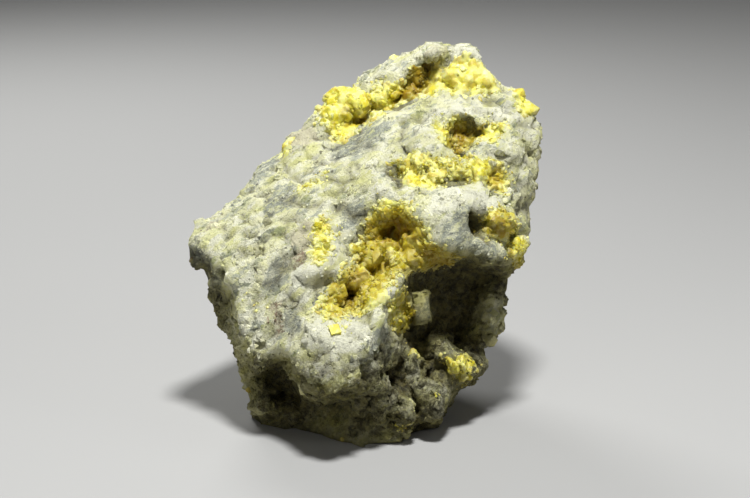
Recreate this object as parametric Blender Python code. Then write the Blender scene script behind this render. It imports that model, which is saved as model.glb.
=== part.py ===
"""A native sulfur specimen: one rugged block of matrix rock that stands on a flat broken base, with
crusts of sulfur crystals grown in its hollows.

The block is modelled on its display face, which leans back from the vertical. Points on it are
written as (across, up, out) in millimetres: across runs to the right, up runs along the leaning
face, and out comes straight off it, towards whoever looks at it. The part's own frame has +X to the
right, +Y to the rear and +Z up, with its origin under the middle of the block, on the surface that
it stands on.
"""

import math
import random

import bmesh
import bpy
import numpy as np
from mathutils import Matrix, Vector, noise
from mathutils.bvhtree import BVHTree
from mathutils.geometry import delaunay_2d_cdt

MM = 0.001
FACE_LEAN = math.radians(15)  # how far the display face leans back
FLOOR_DROP = 5.2  # the floor lies this far below the face's zero point

# The edge of the block as seen square on to its display face, clockwise from the left-hand spur.
OUTLINE = [
    # left-hand spur and the long upper left edge
    (-92, 103, -8), (-87, 111, -14), (-82, 116, -18), (-76, 118, -20), (-67, 125, -24),
    (-62, 130, -28), (-60, 135, -32), (-57, 140, -35), (-50, 146, -38), (-42, 151, -40),
    (-41, 155, -44), (-36, 160, -47), (-31, 163, -48), (-28, 168, -50), (-22, 172, -52),
    (-18, 177, -54), (-12, 182, -56), (-8, 181, -56), (-5, 187, -57), (1, 190, -58),
    (7, 194, -58), (18, 198, -58), (25, 201, -58),
    # the two knobs of the crown
    (28, 202, -57), (31, 203.5, -56), (36, 204, -55), (40, 203.5, -53), (43.5, 200, -52),
    (46, 203.5, -51), (50, 205, -50), (54, 203.5, -48), (58, 199, -46), (60, 193, -44),
    # right shoulder and the upper right edge
    (64, 192, -44), (67, 187, -43), (72, 183, -42), (79, 181, -40), (84, 175, -38),
    (87, 168, -36), (90, 164, -34), (92, 159, -32), (90, 152, -30), (88, 145, -28),
    (88, 136, -26), (85, 130, -26), (84, 124, -26), (82, 119, -26), (83, 111, -22),
    (80, 106, -22), (81, 100, -20), (78, 93, -22),
    # lower right edge, below the brow
    (72, 83, -26), (70, 76, -26), (68, 65, -24), (66, 55, -22), (62, 51, -28),
    (60, 44, -24), (54, 33, -24), (47, 28, -28), (42, 18, -30),
    # foot
    (37, 11, -32), (28, 6, -16), (18, 3, -6), (9, 1, 4), (-1, -1, 13), (-12, 0, 8),
    (-23, 2, 0), (-32, 6, -12), (-42, 8, -18), (-51, 9, -24), (-57, 13, -34),
    # left pillar
    (-59, 20, -30), (-58, 25, -26), (-62, 31, -20), (-64, 39, -14), (-67, 47, -8),
    (-67, 53, -6),
    # flange under the spur
    (-68, 57, -14), (-73, 60, -22), (-74, 68, -24), (-76, 74, -26), (-79, 77, -28),
    (-81, 83, -26), (-82, 90, -24), (-86, 92, -20), (-88, 99, -14),
]

# The relief of the display face.
FRONT_RELIEF = {
    "rear crust": [
        (-36, 152, -31), (-26, 157, -33), (-18, 167, -36), (-7, 177, -41), (7, 187, -42),
        (18, 190, -41), (26, 197, -44), (33, 202, -40), (40, 202, -38), (34, 196, -33),
        (43, 198, -44), (49, 202, -36), (55, 200, -36), (50, 195, -31), (58, 191, -33),
    ],
    "trough rear wall": [(-8, 169, -42), (3, 174, -46), (14, 178, -46), (25, 186, -45), (34, 187, -42)],
    "trough floor": [
        (-16, 158, -38), (-8, 160, -49), (1, 166, -55), (7, 171, -57), (15, 174, -57), (24, 178, -54),
        (32, 182, -46),
    ],
    "crest": [
        (-17, 148, -20), (-7, 153, -21), (-1, 158, -22), (4, 164, -23), (12, 168, -24),
        (20, 171, -24), (28, 175, -25), (34, 177, -26), (48, 176, -22), (60, 175, -22),
        (73, 176, -26),
    ],
    "crown slope": [(43, 193, -41), (50, 186, -33), (66, 184, -33), (38, 184, -38), (58, 181, -30)],
    "upper face": [
        (-7, 144, -11), (8, 150, -10), (18, 160, -14), (28, 162, -11), (40, 168, -13),
        (56, 170, -12), (28, 150, -4), (18, 144, -6),
    ],
    "right shoulder": [
        (70, 167, -14), (80, 155, -17), (78, 142, -12), (68, 150, -6), (86, 158, -25), (83, 136, -18),
    ],
    "pocket": [
        (43, 166, -9), (50, 168, -10), (58, 167, -12), (61, 157, -9), (54, 147, -3), (47, 142, -2),
        (41, 154, -5), (46, 161, -28), (54, 161, -30), (48, 153, -27), (53, 154, -24),
    ],
    "crystal shelf": [
        (14, 138, -8), (18, 136, -9), (33, 135, -3), (48, 134, -2), (63, 134, -6), (38, 143, -1),
        (76, 130, -8), (26, 141, -3), (56, 141, -1),
    ],
    "middle ledge top": [
        (15, 130, 12), (24, 129, 12), (33, 128, 13), (48, 130, 13), (60, 130, 11), (68, 124, 5),
    ],
    "middle ledge front": [
        (33, 119, 24), (48, 119, 25), (59, 120, 19), (58, 114, 6), (66, 114, 14), (74, 114, 6),
        (60, 108, 6), (70, 106, 2), (76, 107, -8), (78, 100, -2),
    ],
    "brow": [
        (44, 109, 24), (53, 107, 27), (38, 104, 22), (62, 103, 22), (45, 101, 22), (55, 100, 25),
        (67, 95, 13), (57, 96, 17), (75, 94, -4),
    ],
    "undercut": [
        (33, 91, 2), (41, 92, -8), (50, 91, -20), (68, 87, -24), (36, 80, -22), (53, 75, -30),
        (38, 65, -22), (24, 57, -12), (50, 57, -26), (58, 49, -24), (26, 80, -6), (25, 70, -14),
    ],
    "right wall": [(65, 76, -15), (59, 65, -9), (66, 62, -11), (61, 55, -9)],
    "lower right lumps": [
        (44, 45, 2), (50, 44, 3), (54, 38, -4), (48, 38, 6), (44, 33, -8), (33, 30, 12), (38, 24, 2),
        (28, 33, 11), (33, 39, -8), (22, 46, 2), (16, 41, 10), (23, 36, 2), (12, 33, 22), (4, 39, 32),
        (10, 40, 24), (4, 22, 20), (12, 24, 14), (20, 22, 8), (28, 18, 8), (33, 14, -2), (18, 10, 6),
        (41, 22, -10), (44, 16, -24),
    ],
    "great hollow": [
        (18, 122, 12), (30, 113, 20), (16, 109, -4), (3, 94, -2), (4, 88, 0), (18, 95, 13), (28, 96, 11),
        (24, 102, 6), (10, 90, 10), (-12, 88, 24), (-3, 84, 15), (-12, 77, 10), (-5, 73, 2),
        (-12, 70, 22), (1, 77, 27), (2, 101, 0), (8, 112, 2),
    ],
    "left of the hollow": [
        (-7, 118, 6), (8, 131, 12), (-12, 105, 18), (-17, 95, 27), (-27, 88, 31), (-22, 113, 9),
        (0, 124, 10),
    ],
    "left face": [
        (-32, 142, -17), (-17, 138, -6), (-52, 135, -21), (-37, 125, -4), (-67, 117, -10),
        (-80, 110, -6), (-57, 110, 2), (-37, 107, 9), (-52, 90, 15), (-42, 85, 17), (-34, 80, 22),
        (-52, 70, 18), (-37, 66, 27), (-44, 60, 24),
    ],
    "left edge": [(-83, 102, -1), (-77, 94, 5), (-70, 86, 9), (-65, 75, 13), (-63, 63, 15)],
    "flange": [(-83, 94, -18), (-78, 86, -19), (-74, 79, -18), (-70, 72, -13), (-70, 63, -17)],
    "white ledge": [
        (-22, 65, 37), (-7, 63, 38), (5, 64, 40), (11, 75, 34), (16, 83, 28), (-22, 53, 47), (-9, 52, 46),
        (3, 53, 43), (10, 57, 34), (9, 49, 30),
    ],
    "ragged lip": [
        (-64, 51, 9), (-57, 50, 15), (-53, 42, 19), (-48, 48, 23), (-43, 52, 27), (-37, 47, 34),
        (-32, 39, 41), (-30, 32, 44), (-22, 27, 46), (-14, 29, 46), (-7, 32, 44), (-1, 30, 36),
    ],
    "lip lumps": [(-24, 37, 51), (-12, 36, 50), (-16, 43, 47), (-9, 42, 38), (-3, 44, 41), (-22, 46, 42)],
    "cave": [
        (-51, 37, -9), (-42, 42, -8), (-40, 30, -20), (-32, 25, -14), (-22, 20, -6), (-9, 22, 0),
        (-32, 15, -10), (-17, 12, -4), (-6, 9, 4), (-58, 42, -4), (-34, 33, -14), (-20, 24, -8),
    ],
    "left pillar": [(-55, 33, 1), (-50, 25, 4), (-54, 17, -9), (-45, 20, -6)],
}

# The rear of the block: a broken face that drops in three rough steps.
REAR_RELIEF = [
    # behind the upper left edge, the crown and the right shoulder
    (-78, 106, -36), (-64, 119, -52), (-50, 140, -56), (-34, 154, -64), (-20, 170, -70),
    (-2, 184, -74), (14, 191, -76), (28, 200, -72), (37, 202, -70), (44, 199, -66),
    (51, 201, -66), (56, 194, -62), (68, 182, -60), (80, 172, -56), (84, 158, -50),
    # upper step
    (-42, 138, -74), (-22, 152, -88), (0, 168, -90), (24, 182, -92), (44, 178, -82),
    (62, 168, -76), (76, 148, -66), (8, 152, -96), (34, 160, -94),
    # middle step
    (-66, 104, -56), (-70, 90, -48), (-50, 116, -78), (-28, 132, -90), (-8, 136, -108),
    (16, 140, -110), (40, 138, -104), (60, 132, -88), (74, 118, -62), (-36, 108, -88),
    (-12, 112, -112), (14, 112, -116), (38, 114, -108), (58, 106, -86), (70, 96, -58),
    # lower step
    (-66, 72, -50), (-52, 84, -72), (-28, 90, -92), (0, 88, -104), (26, 92, -104),
    (48, 84, -86), (62, 74, -58), (-58, 50, -58), (-44, 60, -76), (-20, 64, -98),
    (8, 62, -104), (32, 62, -92), (52, 52, -62), (-52, 30, -62), (-34, 38, -84),
    (-8, 38, -98), (18, 36, -96), (38, 34, -72), (-40, 14, -66), (-18, 12, -84),
    (12, 10, -84), (32, 16, -60),
]

# Relief features that are ridges or valleys: their points are joined in order.
RIDGES = ("trough floor", "crest", "ragged lip", "left edge", "flange")

EYE_DISTANCE = 1040  # the display face is sighted from an eye this far in front of it
EYE_ACROSS, EYE_UP = 5.5, 100.5  # and level with this point of it

SIGHT_STARTS = {"display": 0.9, "rear": -0.5}  # of the eye's distance, where a side's sight lines start
INSIDE_RIM = 1  # delaunay_2d_cdt's setting for triangles inside the rim alone
SAME_POINT = 0.001  # it takes points closer than this as one

ROCK_VOXEL = 2.2
ROCK_DETAIL = 0.07  # share of the whole rock's triangles that is kept
CUT_DETAIL = 0.7  # and then of the triangles that it has with its hollows cut
CRUST_VOXEL = 0.7
CRUST_DETAIL = 0.042  # share of the crusts' triangles that is kept

# Knobs that stand out of the display face: (across, up, radius, height).
KNOBS = [
    # crown, and the small knob that overhangs the hollow under the brow
    (33, 196, 9, 2), (51, 198, 8, 2), (46, 188, 7, 2), (18, 84, 5, 4),
    # ledge under the brow, and the wall below its right end
    (61, 95, 6, 4), (47, 97, 6, 3), (63, 65, 9, 5), (61, 78, 7, 3),
    # lower right
    (23, 44, 9, 6), (47, 41, 9, 7), (33, 26, 11, 8), (58, 44, 5, 4), (35, 13, 7, 4), (19, 10, 7, 5),
    # under the white ledge
    (4, 41, 8, 5), (-17, 35, 8, 5), (-27, 38, 6, 4), (5, 26, 7, 5), (15, 23, 6, 4), (-6, 38, 6, 4),
    # flange and left pillar
    (-82, 95, 7, 5), (-73, 85, 8, 5), (-71, 73, 7, 4), (-54, 22, 8, 5), (-60, 38, 6, 4),
]

# Pits in the display face: (across, up, radius, depth).
PITS = [
    # crown and trough
    (32, 190, 7, 7), (24, 182, 6, 6), (7, 183, 5, 5), (-2, 163, 6, 5), (40, 193, 4, 4),
    # pocket and shelf
    (50, 156, 9, 9), (62, 159, 6, 6), (41, 159, 5, 4), (48, 147, 5, 7), (17, 137, 6, 6), (58, 137, 5, 4),
    # both sides of the right knob, and the crack below it
    (55, 114, 7, 8), (62, 107, 5, 7), (68, 106, 5, 7), (75, 107, 5, 6),
    # great hollow
    (15, 109, 9, 6), (-8, 77, 7, 6),
    # brow, cave and flange
    (57, 100, 5, 6), (-39, 30, 6, 6), (-69, 64, 6, 6), (-77, 90, 5, 4), (-57, 47, 5, 5),
    # between the lumps of the lower right
    (40, 37, 5, 6), (14, 34, 6, 6), (24, 33, 5, 5), (24, 18, 5, 5), (0, 18, 8, 6), (-10, 30, 5, 4),
]

KNOB_SLOPE = 1.5  # the larger, the steeper a knob or pit falls off from its middle

# Broken ground: swells, and lumps of two sizes with creases between them, as (size, height).
SWELLS = (36, 2.0)
SWELL_ROUGHNESS = (0.9, 2.1, 4)  # how fast finer swells die away, how much finer each is, and how many
LUMPS = ((24, 4.5), (12, 4.5))
LUMP_MIDDLE = 0.3  # of a lump's size, the distance from its middle at which it meets the plain rock

# How lumpy the rock is in places, where 1 is ordinary: (across, up, out, reach, lumpiness).
LUMPINESS_DEPTH = 0.7  # the reaches count this much of a distance in depth
LUMPINESS = [
    (-45, 100, 0, 42, 0.35), (10, 155, 0, 26, 0.5), (-12, 60, 0, 18, 0.5), (45, 25, 0, 34, 1.3),
    (0, 35, 0, 20, 1.2), (80, 130, 0, 22, 1.2), (44, 204, -52, 18, 0.2),
]

# A squared block of rock that stands proud beside the hollow under the brow.
BLOCK_SPOT = (29, 72, -3)
BLOCK_SIZE = (8.5, 18, 16)
BLOCK_TURN = math.radians(-6)

# Crusts of sulfur crystals. Each fills a hollow of bowls that run into each other: (name, the face
# it grows on, crystal size, the bowls as (across, up, radius)).
CRUSTS = [
    ("great_hollow", "display", 10, [
        (20, 116, 9), (16, 110, 12), (12, 102, 13), (5, 94, 13), (0, 86, 12), (-7, 79, 11),
        (-13, 76, 8), (23, 100, 11), (34, 99, 9),
    ]),
    ("trough", "display", 8.5, [
        (-15, 163, 8), (-7, 163, 9), (-1, 169, 10), (8, 174, 11), (17, 178, 10), (26, 181, 9),
    ]),
    ("crown", "display", 8.5, [(42, 186, 10), (50, 189, 10), (55, 183, 11), (61, 186, 8)]),
    ("shoulder", "display", 7, [(78, 176, 6), (82, 170, 7)]),
    ("pocket", "display", 7, [(50, 156, 10)]),
    ("pocket_arm", "display", 6, [(60, 159, 7), (66, 160, 6)]),
    ("shelf", "display", 7.5, [
        (20, 139, 9), (27, 142, 8), (34, 138, 9), (44, 140, 9), (54, 139, 9), (63, 137, 9), (69, 133, 7),
    ]),
    ("right_knob", "display", 7, [(63, 113, 8), (70, 112, 8)]),
    ("brow_end", "display", 6, [(76, 101, 8)]),
    ("seam", "display", 6, [(-21, 112, 7), (-22, 107, 7), (-22, 102, 7), (-23, 97, 6)]),
    ("under_ledge", "display", 7, [(19, 70, 8), (18, 66, 8)]),
    ("lower_right", "display", 6.5, [(48, 41, 9)]),
    ("rear_upper", "rear", 9, [(32, 158, 11), (22, 154, 13), (11, 150, 12), (1, 145, 11)]),
    ("rear_lower", "rear", 8, [(-30, 84, 10), (-24, 77, 11), (-19, 68, 9)]),
]

BOWL_DEPTH = 0.7  # of a bowl's radius
BOWL_SHARE = 0.5  # of a bowl's area that its neighbours leave free
GAP = 1.0  # the crust's bowls are this much smaller than the rock's
CRYSTAL = (1.0, 0.78, 1.3)  # a sulfur crystal's two diagonals and its height, for a size of 1
CRYSTAL_SPREAD = 0.35  # crystals are up to this share larger or smaller than their crust's own size
CRYSTAL_LIFT = 0.12  # of its size that a crystal's centre stands out of the rock
CRYSTAL_LEAN = 1.2  # the larger, the straighter the crystals stand out of the rock
CRYSTAL_ROOM = 1.05  # of the square of its size that each crystal has of the bowls' area

ROCK_COLOUR, ROCK_ROUGHNESS = (0.62, 0.61, 0.42), 0.85
SULFUR_COLOUR, SULFUR_ROUGHNESS = (0.84, 0.66, 0.06), 0.35


def spot(across, up, out):
    """A point of the display face, as the eye sights it, in the part's own frame, in metres."""
    nearer = 1 - out / EYE_DISTANCE
    across = EYE_ACROSS + (across - EYE_ACROSS) * nearer
    up = EYE_UP + (up - EYE_UP) * nearer
    lean = Matrix.Rotation(-FACE_LEAN, 3, "X")
    return (lean @ Vector((across, -out, up)) - Vector((0, 0, FLOOR_DROP))) * MM


def new_object(name, mesh):
    made = bpy.data.objects.new(name, mesh)
    bpy.context.scene.collection.objects.link(made)
    return made


def object_from(name, shape):
    """An object that holds a bmesh, which it frees."""
    mesh = bpy.data.meshes.new(name)
    shape.to_mesh(mesh)
    shape.free()
    return new_object(name, mesh)


def copy_of(obj, name):
    return new_object(name, obj.data.copy())


def settle(obj):
    """Replaces the object's mesh by what its modifiers make of it."""
    graph = bpy.context.evaluated_depsgraph_get()
    mesh = bpy.data.meshes.new_from_object(obj.evaluated_get(graph))
    obj.modifiers.clear()
    obj.data = mesh


def remesh(obj, voxel):
    modifier = obj.modifiers.new("remesh", "REMESH")
    modifier.mode = "VOXEL"
    modifier.voxel_size = voxel * MM
    settle(obj)


def thin_out(obj, share):
    """Keeps a share of the object's triangles."""
    modifier = obj.modifiers.new("thin out", "DECIMATE")
    modifier.ratio = share
    settle(obj)


def combine(obj, other, operation):
    modifier = obj.modifiers.new("boolean", "BOOLEAN")
    modifier.operation = operation
    modifier.object = other
    settle(obj)


def half_shell(relief, ridges):
    """Points and triangles of one side of the block, inside its outline."""
    points = OUTLINE + relief
    flat = [Vector((p[0], p[1])) for p in points]
    rim = [(i, (i + 1) % len(OUTLINE)) for i in range(len(OUTLINE))]
    _, _, triangles, sources, _, _ = delaunay_2d_cdt(flat, rim + ridges, [], INSIDE_RIM, SAME_POINT)
    return points, [[sources[corner][0] for corner in t] for t in triangles]


def ridge_edges():
    """The pairs of points that the ridges and valleys join, numbered as half_shell lists them."""
    edges = []
    first = len(OUTLINE)
    for feature, points in FRONT_RELIEF.items():
        if feature in RIDGES:
            edges += [(first + i, first + i + 1) for i in range(len(points) - 1)]
        first += len(points)
    return edges


def block():
    """The closed block: the display face and the rear, joined along the outline."""
    relief = [p for feature in FRONT_RELIEF.values() for p in feature]
    front_points, front = half_shell(relief, ridge_edges())
    rear_points, rear = half_shell(REAR_RELIEF, [])
    shape = bmesh.new()
    corners = [shape.verts.new(spot(*p)) for p in front_points]
    for triangle in front:
        shape.faces.new([corners[i] for i in triangle])
    behind = corners[: len(OUTLINE)] + [
        shape.verts.new(spot(*p)) for p in rear_points[len(OUTLINE):]
    ]
    for triangle in rear:
        shape.faces.new([behind[i] for i in reversed(triangle)])
    bmesh.ops.recalc_face_normals(shape, faces=shape.faces)
    rock = object_from("matrix_rock", shape)
    remesh(rock, ROCK_VOXEL)
    return rock


def surface_of(rock):
    return BVHTree.FromObject(rock, bpy.context.evaluated_depsgraph_get())


def sighted(surface, side, across, up):
    """Where the sight line through a point of the display face meets a surface, and the normal
    there. From the rear, the line runs straight towards the face.
    """
    through = spot(across, up, 0)
    start = spot(across, up, SIGHT_STARTS[side] * EYE_DISTANCE)
    place, normal, _, _ = surface.ray_cast(start, (through - start).normalized())
    return place, normal


def press(rock):
    """Presses the knobs and the pits into the display face."""
    surface = surface_of(rock)
    points = np.array([v.co for v in rock.data.vertices])
    heights = KNOBS + [(across, up, radius, -depth) for across, up, radius, depth in PITS]
    pushes = np.zeros(points.shape)
    for across, up, radius, height in heights:
        place, normal = sighted(surface, "display", across, up)
        away = np.linalg.norm(points - np.array(place), axis=1) / (radius * MM)
        share = np.clip(1 - away**2, 0, None) ** KNOB_SLOPE
        pushes += share[:, None] * np.array(normal) * height * MM
    rock.data.vertices.foreach_set("co", (points + pushes).ravel())


def lumpiness(points):
    """How lumpy the rock is at each point. Behind the display face it is ordinary."""
    amounts = np.ones(len(points))
    for across, up, out, reach, here in LUMPINESS:
        away = (points - np.array(spot(across, up, out))) / MM
        away[:, 1] *= LUMPINESS_DEPTH
        amounts += (here - 1) * np.exp(-(away**2).sum(axis=1) / reach**2)
    return amounts


def weather(rock):
    """Presses broken ground into the rock: broad swells, and lumps with creases between them."""
    amounts = lumpiness(np.array([v.co for v in rock.data.vertices]))
    for vertex, amount in zip(rock.data.vertices, amounts):
        point = vertex.co / MM
        size, swell = SWELLS
        height = swell * noise.fractal(point / size, *SWELL_ROUGHNESS)
        for size, lump in LUMPS:
            height += lump * (LUMP_MIDDLE - noise.voronoi(point / size)[0][0])
        vertex.co += vertex.normal * height * amount * MM


def add_block(rock):
    """Joins the squared block to the rock."""
    shape = bmesh.new()
    bmesh.ops.create_cube(shape, size=MM)
    bmesh.ops.scale(shape, vec=BLOCK_SIZE, verts=shape.verts)
    turn = Matrix.Rotation(-FACE_LEAN, 4, "X") @ Matrix.Rotation(BLOCK_TURN, 4, "Y")
    bmesh.ops.transform(shape, matrix=Matrix.Translation(spot(*BLOCK_SPOT)) @ turn, verts=shape.verts)
    prism = object_from("squared_block", shape)
    combine(rock, prism, "UNION")
    bpy.data.objects.remove(prism)


def cut_base(rock):
    """Cuts the rock off flat where it stands."""
    shape = bmesh.new()
    shape.from_mesh(rock.data)
    geometry = shape.verts[:] + shape.edges[:] + shape.faces[:]
    cut = bmesh.ops.bisect_plane(
        shape, geom=geometry, plane_co=(0, 0, 0), plane_no=(0, 0, -1), clear_outer=True
    )
    edges = [e for e in cut["geom_cut"] if isinstance(e, bmesh.types.BMEdge)]
    bmesh.ops.holes_fill(shape, edges=edges)
    bmesh.ops.triangulate(shape, faces=shape.faces)
    shape.to_mesh(rock.data)
    shape.free()


def bowls(name, surface, side, places, smaller=0.0):
    """Flattened balls, half sunk in a surface, joined in one body."""
    joined = None
    for across, up, radius in places:
        place, normal = sighted(surface, side, across, up)
        shape = bmesh.new()
        bmesh.ops.create_icosphere(shape, subdivisions=1, radius=MM)
        radii = (radius - smaller, radius - smaller, radius * BOWL_DEPTH - smaller)
        bmesh.ops.scale(shape, vec=radii, verts=shape.verts)
        turn = normal.to_track_quat("Z", "Y").to_matrix().to_4x4()
        bmesh.ops.transform(shape, matrix=Matrix.Translation(place) @ turn, verts=shape.verts)
        bowl = object_from(name, shape)
        if joined:
            combine(joined, bowl, "UNION")
            bpy.data.objects.remove(bowl)
        else:
            joined = bowl
    keep_largest(joined)
    return joined


def add_crystal(shape, place, size, turn):
    """A dipyramid with eight flat faces."""
    corners = []
    for axis in range(3):
        for sign in (1, -1):
            corner = Vector()
            corner[axis] = sign * CRYSTAL[axis] * size * MM / 2
            corners.append(shape.verts.new(place + turn @ corner))
    for x in (0, 1):
        for y in (2, 3):
            for z in (4, 5):
                face = (corners[x], corners[y], corners[z])
                shape.faces.new(face if (x + y + z) % 2 == 0 else face[::-1])


def add_crystals(crust, surface, rng, side, size, places):
    """Joins to the crust crystals that point all ways out of a surface, all over the bowls."""
    shape = bmesh.new()
    shape.from_mesh(crust.data)
    for across, up, radius in places:
        for _ in range(math.ceil(BOWL_SHARE * math.pi * radius**2 / (CRYSTAL_ROOM * size**2))):
            distance, angle = radius * math.sqrt(rng.random()), rng.uniform(0, 2 * math.pi)
            at = (across + distance * math.cos(angle), up + distance * math.sin(angle))
            place, normal = sighted(surface, side, *at)
            if place is None:
                continue
            own_size = size * rng.uniform(1 - CRYSTAL_SPREAD, 1 + CRYSTAL_SPREAD)
            axis = Vector([rng.uniform(-1, 1) for _ in range(3)]).normalized() + CRYSTAL_LEAN * normal
            spin = Matrix.Rotation(rng.uniform(0, math.pi), 3, "Z")
            turn = axis.to_track_quat("Z", "X").to_matrix() @ spin
            add_crystal(shape, place + normal * own_size * CRYSTAL_LIFT * MM, own_size, turn)
    shape.to_mesh(crust.data)
    shape.free()
    remesh(crust, CRUST_VOXEL)


def keep_largest(obj):
    """Keeps the largest of the object's bodies, in triangles."""
    shape = bmesh.new()
    shape.from_mesh(obj.data)
    bodies = []
    waiting = set(shape.verts)
    while waiting:
        body, border = set(), {waiting.pop()}
        while border:
            vertex = border.pop()
            body.add(vertex)
            near = {e.other_vert(vertex) for e in vertex.link_edges} & waiting
            waiting -= near
            border |= near
        bodies.append(body)
    bodies.sort(key=len)
    for body in bodies[:-1]:
        bmesh.ops.delete(shape, geom=list(body), context="VERTS")
    bmesh.ops.triangulate(shape, faces=shape.faces)
    shape.to_mesh(obj.data)
    shape.free()


def give_material(obj, colour, rough):
    material = bpy.data.materials.new(obj.name)
    material.use_nodes = True
    surface = material.node_tree.nodes["Principled BSDF"]
    surface.inputs["Base Color"].default_value = (*colour, 1)
    surface.inputs["Roughness"].default_value = rough
    surface.inputs["Metallic"].default_value = 0
    obj.data.materials.clear()
    obj.data.materials.append(material)


def grow_crusts(rock):
    """Cuts each crust's hollow into the rock and fills it with the crust."""
    whole = copy_of(rock, "uncut_rock")
    surface = surface_of(whole)
    for number, (name, side, size, places) in enumerate(CRUSTS):
        hollow = bowls("hollow", surface, side, places)
        room = bowls("room", surface, side, places, smaller=GAP)
        crust = copy_of(whole, "sulfur_crust_" + name)
        combine(crust, room, "INTERSECT")
        add_crystals(crust, surface, random.Random(number), side, size, places)
        combine(crust, room, "INTERSECT")
        remesh(crust, CRUST_VOXEL)
        thin_out(crust, CRUST_DETAIL)
        keep_largest(crust)
        give_material(crust, SULFUR_COLOUR, SULFUR_ROUGHNESS)
        combine(rock, hollow, "DIFFERENCE")
        bpy.data.objects.remove(hollow)
        bpy.data.objects.remove(room)
    keep_largest(rock)
    thin_out(rock, CUT_DETAIL)
    keep_largest(rock)
    bpy.data.objects.remove(whole)


def centre_on_origin():
    """Moves everything so that the origin is under the middle of the whole."""
    meshes = [obj.data for obj in bpy.data.objects]
    points = np.array([v.co for mesh in meshes for v in mesh.vertices])
    middle = (points.min(axis=0) + points.max(axis=0)) / 2
    for mesh in meshes:
        mesh.transform(Matrix.Translation((-middle[0], -middle[1], 0)))


def clear_scene():
    for obj in list(bpy.data.objects):
        bpy.data.objects.remove(obj)


clear_scene()
rock = block()
add_block(rock)
press(rock)
weather(rock)
remesh(rock, ROCK_VOXEL)
thin_out(rock, ROCK_DETAIL)
grow_crusts(rock)
cut_base(rock)
give_material(rock, ROCK_COLOUR, ROCK_ROUGHNESS)
centre_on_origin()
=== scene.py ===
import math
import random

import bmesh
import bpy
import numpy as np
from mathutils import Matrix, Vector
from mathutils.bvhtree import BVHTree
from mathutils.kdtree import KDTree


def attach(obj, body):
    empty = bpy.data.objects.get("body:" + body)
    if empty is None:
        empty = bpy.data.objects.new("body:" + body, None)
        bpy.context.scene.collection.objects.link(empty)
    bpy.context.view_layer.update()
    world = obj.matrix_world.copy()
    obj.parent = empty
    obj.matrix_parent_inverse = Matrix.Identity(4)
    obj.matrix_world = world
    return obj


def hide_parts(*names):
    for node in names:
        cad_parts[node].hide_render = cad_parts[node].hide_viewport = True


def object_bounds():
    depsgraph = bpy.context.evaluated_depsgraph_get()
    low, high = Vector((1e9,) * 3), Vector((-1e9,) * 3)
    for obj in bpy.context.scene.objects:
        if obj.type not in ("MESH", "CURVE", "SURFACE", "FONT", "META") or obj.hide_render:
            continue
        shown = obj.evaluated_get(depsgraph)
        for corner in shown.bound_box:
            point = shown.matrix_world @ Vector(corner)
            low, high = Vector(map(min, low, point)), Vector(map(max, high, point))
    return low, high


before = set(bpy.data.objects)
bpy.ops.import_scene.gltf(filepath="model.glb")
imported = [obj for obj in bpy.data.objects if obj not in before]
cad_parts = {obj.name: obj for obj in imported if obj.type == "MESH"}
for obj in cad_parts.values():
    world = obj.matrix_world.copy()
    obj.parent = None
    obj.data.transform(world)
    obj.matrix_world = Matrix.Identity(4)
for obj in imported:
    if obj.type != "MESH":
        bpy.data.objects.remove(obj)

CAD_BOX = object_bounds()
dice = random.Random(7)
rolls = np.random.default_rng(11)

# ---------------------------------------------------------------- places
MM = 0.001
LEAN = math.radians(15)                # the display face leans back as the view looks down
FLOOR_DROP = 5.2                       # mm
EYE = (5.5, 100.5, 1040.0)             # across, up and out of the eye, mm
MIDDLE = (1.650, 50.925)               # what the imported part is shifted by, mm
HALF_MM = 0.5                          # mm to one pixel of the view at out = 0
ORIGIN_PX = (364.0, 450.0)             # the pixel where across and up are both zero
FACE = np.array(Matrix.Rotation(-LEAN, 3, "X"))


def spots(across, up, out):
    """Points of the display face's own frame (mm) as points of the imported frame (mm)."""
    across, up, out = np.broadcast_arrays(across, up, out)
    nearer = 1.0 - out / EYE[2]
    across = EYE[0] + (across - EYE[0]) * nearer
    up = EYE[1] + (up - EYE[1]) * nearer
    local = np.stack([across, -out, up], -1)
    return local @ FACE.T - np.array([MIDDLE[0], MIDDLE[1], FLOOR_DROP])


def on_face(px, py):
    """Across and up of a pixel."""
    return (px - ORIGIN_PX[0]) * HALF_MM, (ORIGIN_PX[1] - py) * HALF_MM


CAMERA = spots(EYE[0], EYE[1], EYE[2])
TOWARD = FACE @ np.array([0.0, -1.0, 0.0])           # from the rock to the eye


# ---------------------------------------------------------------- noise on arrays of points
def lattice(cells, salt):
    """A number from 0 to 1 that belongs to each whole-number cell."""
    x, y, z = (cells[:, i].astype(np.int64).astype(np.uint32) for i in range(3))
    h = x * np.uint32(374761393) + y * np.uint32(668265263) + z * np.uint32(2246822519)
    h = h + np.uint32((salt * 3266489917) & 0xFFFFFFFF)
    h = (h ^ (h >> np.uint32(15))) * np.uint32(2246822519)
    h = (h ^ (h >> np.uint32(13))) * np.uint32(3266489917)
    return (h ^ (h >> np.uint32(16))).astype(np.float64) / 4294967295.0


CORNERS = [np.array((i, j, k), float) for i in (0, 1) for j in (0, 1) for k in (0, 1)]
AROUND = [np.array((i, j, k), float) for i in (-1, 0, 1) for j in (-1, 0, 1) for k in (-1, 0, 1)]
TURN = np.array(Matrix.Rotation(0.7, 3, Vector((0.3, 0.8, 0.5))))


def swell(points, size, salt):
    """Smooth noise from -1 to 1 whose lumps are about size across."""
    p = (points @ TURN.T) / size
    base = np.floor(p)
    part = p - base
    part = part * part * (3 - 2 * part)
    total = np.zeros(len(p))
    for corner in CORNERS:
        weight = np.prod(np.where(corner > 0, part, 1 - part), axis=1)
        total += weight * lattice(base + corner, salt)
    return total * 2 - 1


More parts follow.
